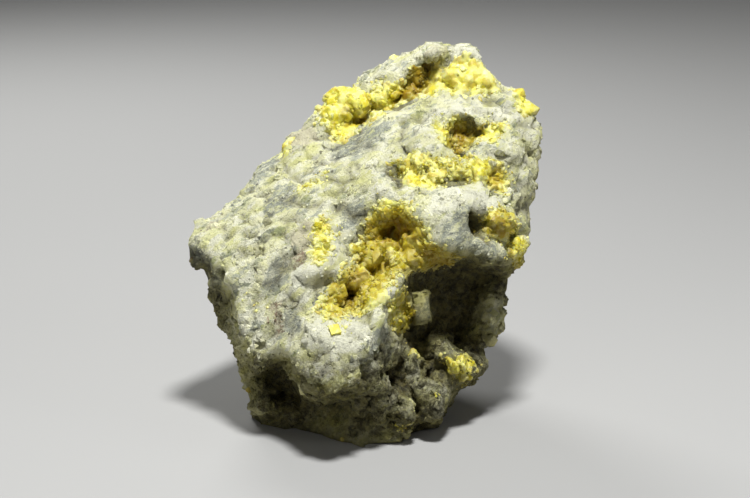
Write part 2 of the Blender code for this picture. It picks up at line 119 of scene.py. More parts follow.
def swells(points, size, salt, octaves):
    """Swell with finer octaves on it, about -1 to 1."""
    total, weight, whole = 0.0, 1.0, 0.0
    for k in range(octaves):
        total = total + weight * swell(points, size / 2 ** k, salt + 17 * k)
        whole += weight
        weight *= 0.55
    return total / whole * 1.6


def cells(points, size, salt):
    """Distances to the two nearest of scattered seeds, in seed spacings, and the nearest one's number."""
    p = (points @ TURN) / size
    base = np.floor(p)
    first, second, own = np.full(len(p), 9.0), np.full(len(p), 9.0), np.zeros(len(p))
    for step in AROUND:
        cell = base + step
        seed = cell + np.stack([lattice(cell, salt + k) for k in range(3)], 1)
        far = np.linalg.norm(p - seed, axis=1)
        closer = far < first
        second = np.where(closer, first, np.minimum(second, far))
        own = np.where(closer, lattice(cell, salt + 3), own)
        first = np.where(closer, far, first)
    return first, second, own


def smooth(x, low, high):
    """0 below low, 1 above high, eased between them."""
    t = np.clip((x - low) / (high - low), 0, 1)
    return t * t * (3 - 2 * t)


# ---------------------------------------------------------------- meshes as arrays
def coords(mesh):
    v = np.empty(len(mesh.vertices) * 3)
    mesh.vertices.foreach_get("co", v)
    return v.reshape(-1, 3) / MM


def normals(mesh):
    n = np.empty(len(mesh.vertices) * 3)
    mesh.vertices.foreach_get("normal", n)
    return n.reshape(-1, 3)


def set_coords(mesh, points):
    mesh.vertices.foreach_set("co", (points * MM).ravel())
    mesh.update()


def edges_of(mesh):
    e = np.empty(len(mesh.edges) * 2, np.int32)
    mesh.edges.foreach_get("vertices", e)
    return e.reshape(-1, 2)


def relaxed(values, edges, rounds):
    """Values evened out over the mesh, a few rounds of each vertex taking its neighbours' mean."""
    count = np.bincount(edges.ravel(), minlength=len(values)).astype(float)
    count[count == 0] = 1
    values = np.array(values, float)
    flat = values.reshape(len(values), -1)
    for _ in range(rounds):
        out = np.empty_like(flat)
        for k in range(flat.shape[1]):
            out[:, k] = (np.bincount(edges[:, 0], flat[edges[:, 1], k], len(flat))
                         + np.bincount(edges[:, 1], flat[edges[:, 0], k], len(flat))) / count
        flat = 0.5 * flat + 0.5 * out
    return flat.reshape(values.shape)


def put(mesh, name, values):
    """Writes one number for each vertex."""
    layer = mesh.attributes.get(name) or mesh.attributes.new(name, "FLOAT", "POINT")
    layer.data.foreach_set("value", np.asarray(values, np.float32))


def take(mesh, name):
    values = np.empty(len(mesh.vertices), np.float32)
    mesh.attributes[name].data.foreach_get("value", values)
    return values.astype(float)


def sunk(points, edges, dirs, rounds):
    """How far each point lies under its evened-out surroundings, in mm."""
    return np.einsum("ij,ij->i", relaxed(points, edges, rounds) - points, dirs)


def triangles_of(mesh):
    return sum(len(f.vertices) - 2 for f in mesh.polygons)


def tree_of(mesh):
    """A mesh, in mm, that rays can be shot at."""
    return BVHTree.FromPolygons([v.co / MM for v in mesh.vertices], [f.vertices[:] for f in mesh.polygons])


def nearest_of(places):
    """A function that gives the number of the place nearest to each of some points."""
    finder = KDTree(len(places))
    for i, place in enumerate(places):
        finder.insert(place, i)
    finder.balance()
    return lambda points: np.array([finder.find(p)[1] for p in points], int)


def build(name, points, faces):
    """An object of these points (mm) and faces."""
    mesh = bpy.data.meshes.new(name)
    mesh.from_pydata((np.asarray(points) * MM).tolist(), [], faces)
    mesh.update()
    obj = bpy.data.objects.new(name, mesh)
    bpy.context.scene.collection.objects.link(obj)
    return obj


def round_shape():
    """A small ball's points and faces."""
    mesh = bmesh.new()
    bmesh.ops.create_icosphere(mesh, subdivisions=2, radius=1.0)
    points = np.array([v.co[:] for v in mesh.verts])
    faces = [[v.index for v in f.verts] for f in mesh.faces]
    mesh.free()
    return points, faces


ROUND, ROUND_FACES = round_shape()


def modified(obj, kind, **settings):
    """Puts a modifier's result in the mesh itself."""
    modifier = obj.modifiers.new(kind, kind)
    for key, value in settings.items():
        setattr(modifier, key, value)
    graph = bpy.context.evaluated_depsgraph_get()
    mesh = bpy.data.meshes.new_from_object(obj.evaluated_get(graph))
    obj.modifiers.clear()
    old, obj.data = obj.data, mesh
    bpy.data.meshes.remove(old)


# ---------------------------------------------------------------- the skin
def sight_hit(tree, px, py):
    """Where the sight line of a pixel meets the rock: place, direction, face and distance."""
    across, up = on_face(px, py)
    aim = spots(across, up, 0.0) - CAMERA
    return tree.ray_cast(Vector(CAMERA), Vector(aim).normalized())


def sight(tree, px, py):
    """The place where the sight line of a pixel meets the rock, if it does."""
    hit = sight_hit(tree, px, py)[0]
    return None if hit is None else np.array(hit)


CRUST_NODES = sorted(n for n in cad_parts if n.startswith("sulfur_crust_"))
CLOSING = 0.75                          # mm that bridges the gap under each crust
SKIN_VOXEL = 0.8
SKIN_TRIANGLES = 194_000
SKIN_MARGIN = 0.05                      # mm that the skin stays inside the solids' box
BASE_KEPT = 2.0                         # mm above the floor where carving fades in


KNOLLS = [  # pixel and radius in mm of the lumps that stand out of the display face
    (457, 47, 4.5), (469, 50, 5.0), (429, 52, 4.5), (441, 48, 4.5), (430, 395, 6.0), (431, 414, 5.0),
    (405, 362, 5.0), (420, 366, 4.5), (438, 350, 4.5), (375, 385, 4.0), (364, 373, 4.0), (386, 401, 4.5),
    (360, 393, 4.0), (404, 431, 4.5), (482, 364, 3.0), (255, 370, 4.5), (250, 390, 5.0), (262, 405, 4.5),
    (248, 412, 4.0), (258, 424, 4.0), (315, 372, 3.5), (330, 379, 3.5), (345, 386, 3.5), (300, 366, 3.0),
    (356, 372, 3.0), (343, 361, 2.6), (226, 255, 3.5), (216, 285, 3.0), (223, 300, 3.0), (335, 95, 4.5),
    (350, 90, 4.5), (365, 80, 4.0), (380, 74, 4.0), (400, 66, 4.0), (330, 112, 4.5), (345, 122, 4.0),
    (326, 126, 4.0), (356, 104, 4.0), (372, 100, 4.0), (300, 137, 5.0), (312, 128, 4.0), (290, 150, 4.0),
    (397, 283, 3.0), (452, 408, 4.0), (344, 402, 4.0), (318, 404, 4.0), (296, 412, 4.0), (330, 424, 4.0),
    (366, 424, 4.5), (424, 434, 3.5), (286, 428, 3.5), (468, 392, 3.0), (452, 123, 2.6), (461, 117, 3.0),
    (472, 116, 3.2), (482, 123, 3.0), (486, 134, 2.6), (476, 146, 2.8), (466, 158, 2.6), (450, 150, 2.4),
    (445, 136, 2.4), (470, 126, 2.4), (440, 225, 3.2), (455, 217, 3.6), (468, 233, 3.2), (448, 241, 3.2),
    (480, 223, 2.8), (465, 222, 4.2), (472, 226, 3.6), (474, 217, 3.2), (300, 272, 2.2), (309, 268, 2.0),
    (318, 270, 2.4), (326, 274, 2.0), (304, 280, 2.2), (314, 279, 2.0), (198, 254, 3.0), (206, 262, 3.0),
    (196, 266, 2.6), (212, 276, 3.2), (206, 286, 3.0), (216, 294, 2.8), (222, 308, 3.0), (228, 322, 3.0),
    (218, 320, 2.6), (234, 336, 3.0), (202, 240, 2.4), (492, 112, 4.0), (488, 122, 3.4), (508, 104, 3.6),
    (496, 205, 4.5), (478, 203, 4.0), (452, 205, 4.5), (436, 212, 4.0), (392, 288, 3.2), (484, 262, 3.6),
    (470, 268, 3.0), (300, 318, 3.2), (288, 330, 3.0), (312, 336, 3.4), (350, 328, 3.6), (364, 336, 3.6),
]
BOULDERS = [  # pixel, and out and radius in mm, of lumps that stand inside the hollows
    (320, 296, 23, 8.0), (330, 290, 20, 6.5), (313, 304, 24, 5.0), (462, 141, -21, 6.5),
    (472, 132, -19, 5.5), (456, 152, -15, 4.5), (466, 122, -17, 5.0), (420, 300, -16, 7.0),
    (298, 286, 24, 7.5), (306, 295, 25, 6.5), (290, 294, 20, 6.0), (385, 408, 16, 6.0), (404, 414, 14, 6.0),
    (366, 402, 20, 6.0), (418, 386, 8, 6.0),
]
STRAY_KNOLLS = 420
KNOLL_SIZES = (1.8, 4.8)                # mm
KNOLL_SUNK = 0.55                       # of the radius
KNOLL_LEAN, KNOLL_STRETCH = 0.35, (0.75, 1.3)
STRAY_ABOVE = 6                         # mm over the floor
UNEVENNESS = 0.09                       # of a small solid's corners, as a share of its radius


def knoll(at, out, radius):
    """One uneven lump, sunk in the surface that it stands on."""
    way = rolls.normal(0, 1, 3) * KNOLL_LEAN + out
    stretch = rolls.uniform(*KNOLL_STRETCH, 3)
    turn = np.array(Vector(way).to_track_quat("Z", "Y").to_matrix())
    ball = ROUND * stretch * (1 + rolls.normal(0, UNEVENNESS, (len(ROUND), 1)))
    return (ball * radius) @ turn.T + at - out * radius * KNOLL_SUNK


PRISM_AT, PRISM_SIZE = (28.7, 71.6, -3.0), (9.0, 18.5, 16.5)   # the squared block under the brow, mm
PRISM_TURN = math.radians(-6)


def prism():
    """The squared block's corners and faces, with its crisp edges."""
    turn = np.array(Matrix.Rotation(-LEAN, 3, "X") @ Matrix.Rotation(PRISM_TURN, 3, "Y"))
    box = [(x, y, z) for x in (-0.5, 0.5) for y in (-0.5, 0.5) for z in (-0.5, 0.5)]
    faces = [[0, 1, 3, 2], [4, 6, 7, 5], [0, 4, 5, 1], [2, 3, 7, 6], [0, 2, 6, 4], [1, 5, 7, 3]]
    return (np.array(box) * PRISM_SIZE) @ turn.T + spots(*PRISM_AT), faces


def all_solids():
    """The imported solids, swollen a little, with the lumps that stand on them: points and faces."""
    points, faces = [], []
    for name in ["matrix_rock"] + CRUST_NODES:
        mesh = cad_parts[name].data
        start = sum(len(p) for p in points)
        points.append(coords(mesh) + normals(mesh) * CLOSING)
        faces += [[v + start for v in f.vertices] for f in mesh.polygons]
    rock = BVHTree.FromPolygons(np.concatenate(points).tolist(), faces)
    places = []
    for x, y, radius in KNOLLS:
        hit = sight_hit(rock, x, y)
        if hit[0] is not None:
            places.append((np.array(hit[0]), np.array(hit[1]), radius))
    base = points[0][rolls.integers(0, len(points[0]), STRAY_KNOLLS * 3)]
    for at in base[base[:, 2] > STRAY_ABOVE][:STRAY_KNOLLS]:
        near = rock.find_nearest(Vector(at))
        size = KNOLL_SIZES[0] + (KNOLL_SIZES[1] - KNOLL_SIZES[0]) * rolls.random() ** 1.5
        places.append((np.array(near[0]), np.array(near[1]), size))
    for x, y, out, radius in BOULDERS:
        places.append((spots(*on_face(x, y), out), TOWARD, radius))
    lumps = [(knoll(*place), ROUND_FACES) for place in places] + [prism()]
    for lump, lump_faces in lumps:
        start = sum(len(p) for p in points)
        points.append(lump)
        faces += [[v + start for v in f] for f in lump_faces]
    return np.concatenate(points), faces


def in_box(points):
    """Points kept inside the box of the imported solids."""
    low, high = (np.array(c) / MM for c in CAD_BOX)
    return np.clip(points, low + [SKIN_MARGIN, SKIN_MARGIN, 0], high - SKIN_MARGIN)


skin = build("rock_skin", *all_solids())
modified(skin, "REMESH", mode="VOXEL", voxel_size=SKIN_VOXEL * MM)
set_coords(skin.data, in_box(coords(skin.data) - normals(skin.data) * CLOSING))

crust_trees = {name: tree_of(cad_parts[name].data) for name in CRUST_NODES}


def crust_distance(points, most=12.0):
    """How far each point is from the nearest crust, and which crust that is."""
    far = np.full(len(points), most)
    which = np.zeros(len(points), int)
    for k, name in enumerate(CRUST_NODES):
        mesh_points = coords(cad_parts[name].data)
        low, high = mesh_points.min(0) - most, mesh_points.max(0) + most
        near = np.where(np.all((points > low) & (points < high), axis=1))[0]
        tree = crust_trees[name]
        for i in near:
            hit = tree.find_nearest(points[i], most)
            if hit[3] is not None and hit[3] < far[i]:
                far[i], which[i] = hit[3], k
    return far, which


# Zones of the display face, each drawn round by pixel corners, with its strength from 0 to 1.
SULFUR_ZONES = {
    "great hollow": (1.0, [
        (372, 212), (385, 203), (402, 203), (418, 212), (427, 228), (433, 243), (448, 248), (458, 256),
        (440, 262), (425, 268), (405, 270), (392, 280), (384, 292), (376, 306), (366, 314), (352, 313),
        (330, 318), (324, 312), (330, 300), (332, 288), (342, 274), (352, 262), (356, 248), (364, 232)]),
    "seam": (0.8, [
        (316, 218), (326, 212), (329, 232), (330, 250), (326, 262), (318, 266), (313, 258), (318, 240)]),
    "trough": (0.8, [
        (322, 98), (335, 85), (350, 84), (362, 92), (375, 92), (392, 84), (405, 74), (415, 66), (432, 62),
        (446, 70), (448, 88), (436, 95), (420, 97), (404, 100), (390, 110), (372, 122), (358, 132),
        (346, 142), (334, 138), (326, 125), (318, 112)]),
    "trough floor": (1.0, [
        (338, 108), (350, 96), (372, 98), (396, 90), (418, 84), (422, 96), (402, 101), (386, 111),
        (366, 122), (352, 136), (344, 138), (342, 120)]),
    "crown": (0.72, [
        (446, 62), (455, 58), (478, 62), (492, 80), (500, 92), (480, 95), (455, 92), (440, 92), (436, 84),
        (444, 76)]),
    "right edge": (0.95, [(510, 88), (522, 88), (531, 98), (533, 112), (524, 112), (516, 104)]),
    "shelf": (0.6, [
        (394, 158), (408, 150), (420, 150), (432, 156), (446, 158), (460, 160), (478, 162), (500, 165),
        (508, 176), (505, 190), (492, 190), (478, 186), (462, 184), (448, 180), (440, 190), (420, 190),
        (405, 186), (396, 176), (392, 168)]),
    "shelf end": (1.0, [
        (470, 164), (488, 162), (502, 168), (506, 182), (500, 192), (490, 190), (484, 180), (474, 174)]),
    "shelf start": (0.9, [
        (398, 166), (410, 160), (418, 172), (436, 178), (440, 190), (424, 190), (406, 184)]),
    "pocket": (0.85, [
        (436, 122), (450, 118), (466, 120), (474, 132), (470, 146), (460, 160), (450, 152), (440, 140)]),
    "pocket arm": (0.8, [(476, 130), (490, 124), (504, 122), (506, 134), (492, 142), (478, 142)]),
    "right knob": (0.9, [
        (482, 214), (498, 210), (512, 216), (516, 228), (508, 238), (492, 236), (482, 228)]),
    "brow end": (0.9, [(512, 240), (526, 238), (526, 256), (518, 264), (508, 258)]),
    "ledge knob": (1.0, [
        (392, 296), (404, 292), (412, 304), (412, 318), (404, 328), (392, 326), (388, 314)]),
    "lower knob": (0.85, [(446, 356), (466, 350), (476, 364), (470, 380), (456, 386), (444, 374)]),
    "white ledge": (0.5, [(327, 326), (342, 323), (345, 334), (330, 337)]),
    "left speck": (0.9, [(245, 298), (257, 296), (259, 305), (248, 308)]),
    "top speck": (0.9, [(279, 142), (287, 138), (288, 149), (281, 152)]),
    "edge speck": (0.9, [(240, 182), (246, 182), (246, 190), (240, 190)]),
    "foot speck": (0.8, [(396, 428), (406, 424), (408, 433), (398, 436)]),
    "slope speck": (0.7, [(299, 188), (306, 182), (334, 166), (336, 174), (318, 184), (304, 192)]),
}
GREY_ZONES = {
    "upper left edge": (0.8, [
        (243, 190), (252, 172), (268, 156), (279, 152), (280, 165), (270, 178), (256, 188)]),
    "left": (0.85, [(262, 212), (268, 196), (285, 184), (300, 182), (302, 196), (292, 210), (276, 216)]),
    "slope": (0.85, [(309, 196), (312, 170), (320, 160), (324, 172), (320, 192), (314, 198)]),
    "slope chip": (0.8, [(330, 150), (338, 144), (347, 146), (342, 156), (332, 158)]),
    "slope pebble": (0.9, [(335, 174), (341, 163), (351, 164), (348, 174), (340, 178)]),
    "band": (0.7, [
        (330, 160), (345, 140), (362, 126), (376, 118), (392, 114), (402, 118), (398, 132), (388, 142),
        (376, 146), (366, 158), (350, 160), (338, 166)]),
    "crest": (0.6, [
        (392, 112), (420, 100), (440, 98), (500, 96), (514, 100), (500, 104), (470, 106), (445, 106),
        (420, 108), (400, 116)]),
    "beside the pocket": (0.75, [(421, 140), (432, 138), (442, 146), (438, 154), (426, 154)]),
    "under the pocket": (0.7, [(464, 150), (478, 146), (490, 150), (488, 158), (472, 158)]),
    "above the hollow": (0.8, [
        (338, 228), (342, 206), (352, 196), (364, 196), (370, 206), (362, 220), (352, 232)]),
    "left face": (0.8, [
        (262, 292), (264, 270), (274, 256), (286, 250), (290, 262), (284, 280), (276, 296)]),
    "left face foot": (0.8, [(286, 336), (284, 312), (292, 300), (302, 302), (304, 320), (298, 338)]),
    "slab": (1.0, [(312, 306), (318, 294), (330, 292), (334, 302), (326, 314), (314, 314)]),
    "ledge": (0.62, [
        (432, 250), (436, 230), (446, 214), (460, 200), (474, 200), (476, 214), (468, 232), (458, 246),
        (446, 254)]),
    "brow": (0.75, [(452, 240), (480, 230), (498, 240), (500, 256), (480, 258), (455, 254)]),
    "flank": (0.7, [(524, 188), (538, 188), (538, 202), (526, 202)]),
    "flange": (1.0, [
        (184, 244), (200, 246), (214, 262), (224, 280), (226, 300), (214, 296), (204, 280), (190, 266)]),
    "prism": (1.0, [(410, 292), (432, 290), (430, 322), (414, 322)]),
    "lip": (0.75, [(366, 345), (376, 325), (386, 318), (389, 335), (380, 352), (368, 358)]),
    "pillar": (0.6, [(240, 395), (250, 390), (254, 415), (246, 425)]),
    "left top": (0.6, [(226, 204), (242, 188), (252, 190), (244, 204), (232, 212)]),
}
CHALK_ZONES = {
    "left of the hollow": (1.0, [
        (288, 284), (296, 270), (315, 264), (334, 268), (330, 282), (312, 290), (295, 290)]),
    "white ledge": (1.0, [
        (300, 345), (304, 325), (318, 318), (356, 316), (372, 322), (370, 340), (352, 350), (325, 352)]),
    "middle ledge": (0.9, [
        (425, 205), (440, 192), (470, 190), (498, 196), (500, 206), (480, 214), (450, 216), (430, 214)]),
    "crest": (0.8, [
        (425, 118), (436, 106), (470, 104), (500, 104), (515, 96), (517, 108), (500, 120), (470, 116),
        (440, 120)]),
    "above the hollow": (0.8, [(364, 200), (372, 186), (386, 186), (388, 200), (378, 206)]),
    "shelf": (0.8, [(486, 156), (498, 152), (504, 160), (494, 168)]),
    "hollow edge": (0.8, [(384, 300), (386, 286), (398, 284), (402, 292), (394, 302)]),
    "crown knob": (0.9, [(450, 62), (451, 46), (460, 36), (474, 38), (481, 54), (478, 66), (464, 60)]),
    "upper slope": (0.6, [(402, 118), (440, 122), (470, 120), (450, 134), (420, 136)]),
}
BROWN_ZONES = {
    "pits": (0.62, [(284, 262), (292, 248), (306, 244), (314, 252), (308, 266), (300, 278), (288, 276)]),
    "lower pits": (0.62, [(270, 330), (272, 308), (282, 296), (292, 302), (288, 322), (280, 340)]),
    "left tip": (0.5, [(198, 228), (206, 220), (218, 224), (214, 234)]),
}
BEIGE_ZONES = {
    "top pebbles": (0.9, [(286, 148), (290, 132), (304, 124), (318, 128), (318, 142), (302, 150)]),
    "above the seam": (0.9, [(288, 244), (292, 230), (308, 222), (322, 226), (316, 242), (302, 250)]),
    "crown knob": (0.5, [(418, 60), (424, 46), (436, 39), (448, 42), (450, 58), (440, 66), (425, 66)]),
    "left tip": (0.7, [(200, 234), (206, 222), (218, 222), (216, 232)]),
}
# The sulfur's amber colour, laid on most strongly in the hollows' recesses, where it is also painted shade.
AMBER_AND_SHADE_ZONES = {
    "great hollow": (0.5, [
        (368, 216), (402, 206), (422, 220), (432, 246), (452, 258), (425, 266), (392, 278), (366, 312),
        (330, 316), (336, 286), (358, 250)]),
    "hollow roof": (1.0, [(378, 244), (382, 226), (396, 216), (410, 226), (412, 242), (398, 248)]),
    "hollow arm": (0.9, [(412, 250), (424, 244), (446, 246), (448, 252), (424, 254)]),
    "hollow foot": (0.7, [(345, 285), (352, 264), (372, 262), (376, 276), (362, 290)]),
    "trough start": (0.8, [(338, 116), (342, 106), (350, 108), (348, 116)]),
    "trough middle": (0.8, [(362, 122), (364, 110), (374, 112), (372, 122)]),
    "trough end": (0.8, [(394, 98), (400, 88), (420, 84), (422, 94), (404, 100)]),
    "olive": (0.7, [(408, 92), (410, 72), (422, 60), (436, 62), (432, 82), (422, 92)]),
    "right knob": (0.8, [(488, 234), (492, 216), (504, 214), (510, 226), (504, 236)]),
    "shelf": (0.6, [(484, 192), (488, 168), (498, 168), (498, 190)]),
    "pocket": (0.7, [(448, 160), (452, 126), (466, 124), (470, 140), (462, 160)]),
    "cavities": (0.7, [(334, 312), (332, 290), (356, 288), (362, 304), (350, 312)]),
}
# Painted shade: darkening drawn over the undercut, the cave, the undersides, the left flange and the
# grooves, where shade falls on the rock.
PAINTED_SHADE_ZONES = {
    "undercut": (1.0, [
        (398, 268), (428, 262), (452, 264), (500, 262), (508, 280), (506, 300), (484, 292), (470, 330),
        (452, 345), (424, 342), (408, 330), (434, 322), (430, 292), (405, 290)]),
    "lower middle": (0.92, [
        (366, 352), (384, 330), (420, 336), (470, 332), (492, 350), (486, 392), (440, 436), (376, 440),
        (352, 420), (362, 385)]),
    "cave": (0.95, [
        (246, 362), (272, 352), (298, 380), (318, 396), (322, 414), (296, 428), (262, 424), (252, 400)]),
    "under the ledge": (0.62, [(290, 362), (320, 358), (368, 356), (366, 400), (330, 402), (300, 392)]),
    "base": (0.6, [(250, 420), (300, 420), (360, 424), (420, 436), (380, 446), (300, 440), (255, 430)]),
    "right wall foot": (0.5, [(474, 330), (500, 320), (494, 352), (476, 352)]),
    "flange": (0.85, [
        (184, 244), (200, 246), (214, 262), (224, 280), (228, 330), (214, 320), (204, 280), (190, 266)]),
    "prism": (0.35, [(410, 292), (432, 290), (430, 322), (414, 322)]),
    "brow groove": (0.7, [(458, 212), (474, 208), (486, 216), (484, 230), (466, 230)]),
}
PITS = [  # pixel, radius and depth in mm
    (366, 247, 2.4, 5), (368, 268, 2.2, 4), (378, 94, 2.6, 4), (383, 80, 2.2, 3), (413, 85, 2.8, 4),
    (428, 68, 3.2, 5), (440, 58, 2.2, 3), (443, 130, 2.2, 3), (447, 139, 2.4, 4), (466, 131, 6.0, 4),
    (458, 149, 4.2, 4), (476, 134, 3.0, 3), (303, 258, 2.6, 3), (292, 252, 2.0, 2.5), (296, 268, 2.2, 2.5),
    (280, 318, 2.2, 2.5), (276, 330, 2.0, 2), (286, 306, 1.8, 2), (352, 296, 2.8, 5), (341, 309, 3.0, 5),
    (357, 305, 2.2, 5), (396, 232, 3.0, 3), (434, 248, 2.6, 3), (488, 196, 2.2, 3), (505, 201, 2.0, 3),
    (397, 178, 2.4, 3), (454, 180, 2.0, 2), (472, 176, 1.8, 2), (495, 262, 2.6, 3), (330, 366, 3.0, 3),
    (352, 372, 4.5, 6), (322, 376, 3.0, 3), (372, 400, 4.0, 5), (396, 404, 4.0, 5), (430, 372, 3.5, 4),
    (412, 398, 3.0, 4), (382, 378, 3.0, 4), (458, 402, 3.0, 4), (440, 424, 3.0, 3), (410, 426, 3.0, 3),
    (300, 300, 1.6, 1.5), (310, 320, 1.6, 1.5), (262, 344, 3.0, 3), (345, 352, 2.0, 2),
]


SEEN_DEPTH = 2.5                        # mm behind the seen surface that still counts as seen
GRAZING = -0.1                          # how far a surface may turn away and still be looked at
ZONE_RAGGED, ZONE_FADE, ZONE_REACH = 6.0, 4.5, 12        # pixels
HALO_ROUNDS = 40  # how far the yellow spreads round the sulfur


def inside(corners, px):
    """Signed distance in pixels from each point to a drawn outline, positive inside it."""
    far = np.full(len(px), 1e9)
    within = np.zeros(len(px), bool)
    for (x0, y0), (x1, y1) in zip(corners, corners[1:] + corners[:1]):
        run = np.array([x1 - x0, y1 - y0], float)
        along = np.clip(((px - [x0, y0]) @ run) / (run @ run), 0, 1)
        far = np.minimum(far, np.linalg.norm(px - [x0, y0] - along[:, None] * run, axis=1))
        crosses = (y0 > px[:, 1]) != (y1 > px[:, 1])
        if y0 != y1:
            within ^= crosses & (px[:, 0] < (x1 - x0) * (px[:, 1] - y0) / (y1 - y0) + x0)
    return np.where(within, far, -far)


def pixels(points):
    """The pixel that each point is seen at."""
    local = (points + np.array([MIDDLE[0], MIDDLE[1], FLOOR_DROP])) @ FACE
    nearer = 1.0 + local[:, 1] / EYE[2]
    across = EYE[0] + (local[:, 0] - EYE[0]) / nearer
    up = EYE[1] + (local[:, 2] - EYE[1]) / nearer
    return np.stack([ORIGIN_PX[0] + across / HALF_MM, ORIGIN_PX[1] - up / HALF_MM], 1)


def in_view(tree, points, dirs):
    """1 where a point can be seen from the eye's side, 0 where the rock hides it."""
    seen = np.zeros(len(points))
    for i in np.where(dirs @ TOWARD > GRAZING)[0]:
        aim = points[i] - CAMERA
        far = np.linalg.norm(aim)
        hit = tree.ray_cast(Vector(CAMERA), Vector(aim))
        seen[i] = hit[0] is None or hit[3] > far - SEEN_DEPTH
    return seen


def zone_amount(zones, px, seen, ragged):
    """How much each point belongs to the zones: strength inside, ragged and fading at the edge."""
    amount = np.zeros(len(px))
    for strength, corners in zones.values():
        low, high = np.min(corners, 0) - ZONE_REACH, np.max(corners, 0) + ZONE_REACH
        near = np.all((px > low) & (px < high), axis=1) & (seen > 0)
        depth = inside(corners, px[near]) + ragged[near] * ZONE_RAGGED
        amount[near] = np.maximum(amount[near], strength * smooth(depth, -ZONE_FADE, ZONE_FADE))
    return amount * seen


tree = tree_of(skin.data)
points, dirs, edges = coords(skin.data), normals(skin.data), edges_of(skin.data)
even_dirs = relaxed(dirs, edges, 6)
even_dirs /= np.linalg.norm(even_dirs, axis=1)[:, None]

seen = relaxed(in_view(tree, points, dirs), edges, 2)
px = pixels(points)
ragged = swells(points, 6.0, 12, 3)
sulfur = zone_amount(SULFUR_ZONES, px, seen, ragged)
crust_far, _ = crust_distance(points)
on_crust = smooth(-(crust_far + swells(points, 5, 11, 2) * 1.1), -2.6, -1.2)
behind = smooth(-dirs @ TOWARD, -0.2, 0.2)
patches = swells(points, 11, 13, 4)
sulfur = np.maximum(sulfur, on_crust * 0.5 * (1 - behind))
sulfur = np.maximum(sulfur, behind * (1 - smooth(crust_far - patches * 7, 0.5, 4.5)))
sulfur = np.maximum(sulfur, behind * smooth(patches, 0.62, 0.8) * 0.8)
clast, chalk, brown, beige, amber = (
    zone_amount(zones, px, seen, ragged)
    for zones in (GREY_ZONES, CHALK_ZONES, BROWN_ZONES, BEIGE_ZONES, AMBER_AND_SHADE_ZONES))
# How much painted shade each point takes from those zones.
dark = zone_amount(PAINTED_SHADE_ZONES, px, seen, ragged * 1.5)

# Away from the display face the clasts and the chalk are strewn at random.
CLAST_SPACING, CHALK_SPACING = 17, 12   # mm
STREWN_ABOVE, BROWN_BELOW = 0.8, 0.1    # which seeds carry them
facing = even_dirs @ TOWARD
hidden = smooth(-facing, -0.15, 0.15)
near1, near2, own = cells(points * [1, 1, 1.3], CLAST_SPACING, 31)
clast = np.maximum(clast, hidden * (own > STREWN_ABOVE) * smooth(near2 - near1, 0.08, 0.2))
near1, near2, own = cells(points, CHALK_SPACING, 35)
within = smooth(near2 - near1, 0.1, 0.3)
chalk = np.maximum(chalk, hidden * (own > STREWN_ABOVE) * within)
brown = np.maximum(brown, hidden * (own < BROWN_BELOW) * within * 0.7)
clast *= 1 - sulfur
chalk *= 1 - np.maximum(sulfur, clast)
brown *= 1 - np.maximum(sulfur, clast)

# Relief: rounded lumps with creases between them, at three sizes, smoother on the clasts and
# rougher low down, then scattered pits, short cracks and the deeper pits of the display face.
RELIEF = ((9.0, 1.9, 62), (4.6, 1.2, 64), (2.4, 0.5, 66))   # size and height in mm, salt
LUMP_RISE, LUMP_ROUND, LUMP_SPREAD = 0.55, 1.1, 0.35        # of the height
CREASE_DEPTH, CREASE_WIDTH = 0.45, 0.16
LOW_SIZE, LOW_HEIGHT, LOW_CREASE = 13.0, 3.0, 0.14          # the large lumps low down
PIT_SPACING, PIT_DEPTH, PITS_ABOVE = 9.0, 3.4, 0.62
CRACK_SPACING, CRACK_DEPTH, CRACK_WIDTH = 22, 1.3, 0.045
LIFT_RANGE = (-8.0, 1.6)                # mm
PRISM_SPARED = 0.9                      # how much of the relief the squared block is spared
squared = zone_amount({"prism": (1.0, GREY_ZONES["prism"][1])}, px, seen, ragged * 0.3)
rough = 1 - 0.5 * clast
rough *= np.clip(1 + 0.35 * swells(points, 40, 41, 2), 0.5, 1.5)
low_down = smooth(-points[:, 2], -75, -30)
rough *= 1 + 1.1 * low_down
drift = np.stack([swells(points, 9, 51 + k, 2) for k in range(3)], 1) * 1.6
lift = swells(points, 16, 61, 2) * 0.7
for size, height, salt in RELIEF:
    near1, near2, own = cells(points + drift, size, salt)
    lift += rough * height * (LUMP_RISE - near1 ** 2 * LUMP_ROUND + LUMP_SPREAD * (own - 0.5))
    lift -= rough * height * CREASE_DEPTH * (1 - smooth(near2 - near1, 0.0, CREASE_WIDTH))
near1, near2, own = cells(points + drift, LOW_SIZE, 68)
lift += low_down * LOW_HEIGHT * (0.5 - near1 ** 2 * LUMP_ROUND
                                 - 0.5 * (1 - smooth(near2 - near1, 0.0, LOW_CREASE)))
near1, near2, own = cells(points + drift, PIT_SPACING, 71)
lift -= (own > PITS_ABOVE - 0.25 * low_down) * (1 - clast) * PIT_DEPTH * smooth(-near1, -0.36, -0.12)
crack = np.abs(swells(points + drift, CRACK_SPACING, 81, 2))
lift -= CRACK_DEPTH * (1 - smooth(crack, 0.0, CRACK_WIDTH)) * smooth(swell(points, 30, 83), 0.0, 0.3)
for x, y, radius, depth in PITS:
    at = sight(tree, x, y)
    if at is not None:
        far = np.linalg.norm(points - at, axis=1) / radius
        lift -= depth * (1 - smooth(far + swell(points, 3, 91) * 0.3, 0.3, 1.15))
keep = smooth(points[:, 2], 0.1, BASE_KEPT)
lift = np.clip(lift, *LIFT_RANGE) * keep * (1 - PRISM_SPARED * squared)
points = in_box(points + even_dirs * lift[:, None])
set_coords(skin.data, points)
halo = np.clip(relaxed(sulfur, edges, HALO_ROUNDS) * 1.4, 0, 1)
for name, values in (("sulfur", sulfur), ("clast", clast), ("chalk", chalk), ("brown", brown),
                     ("beige", beige), ("amber", amber), ("halo", halo), ("dark", dark)):
    put(skin.data, name, values)

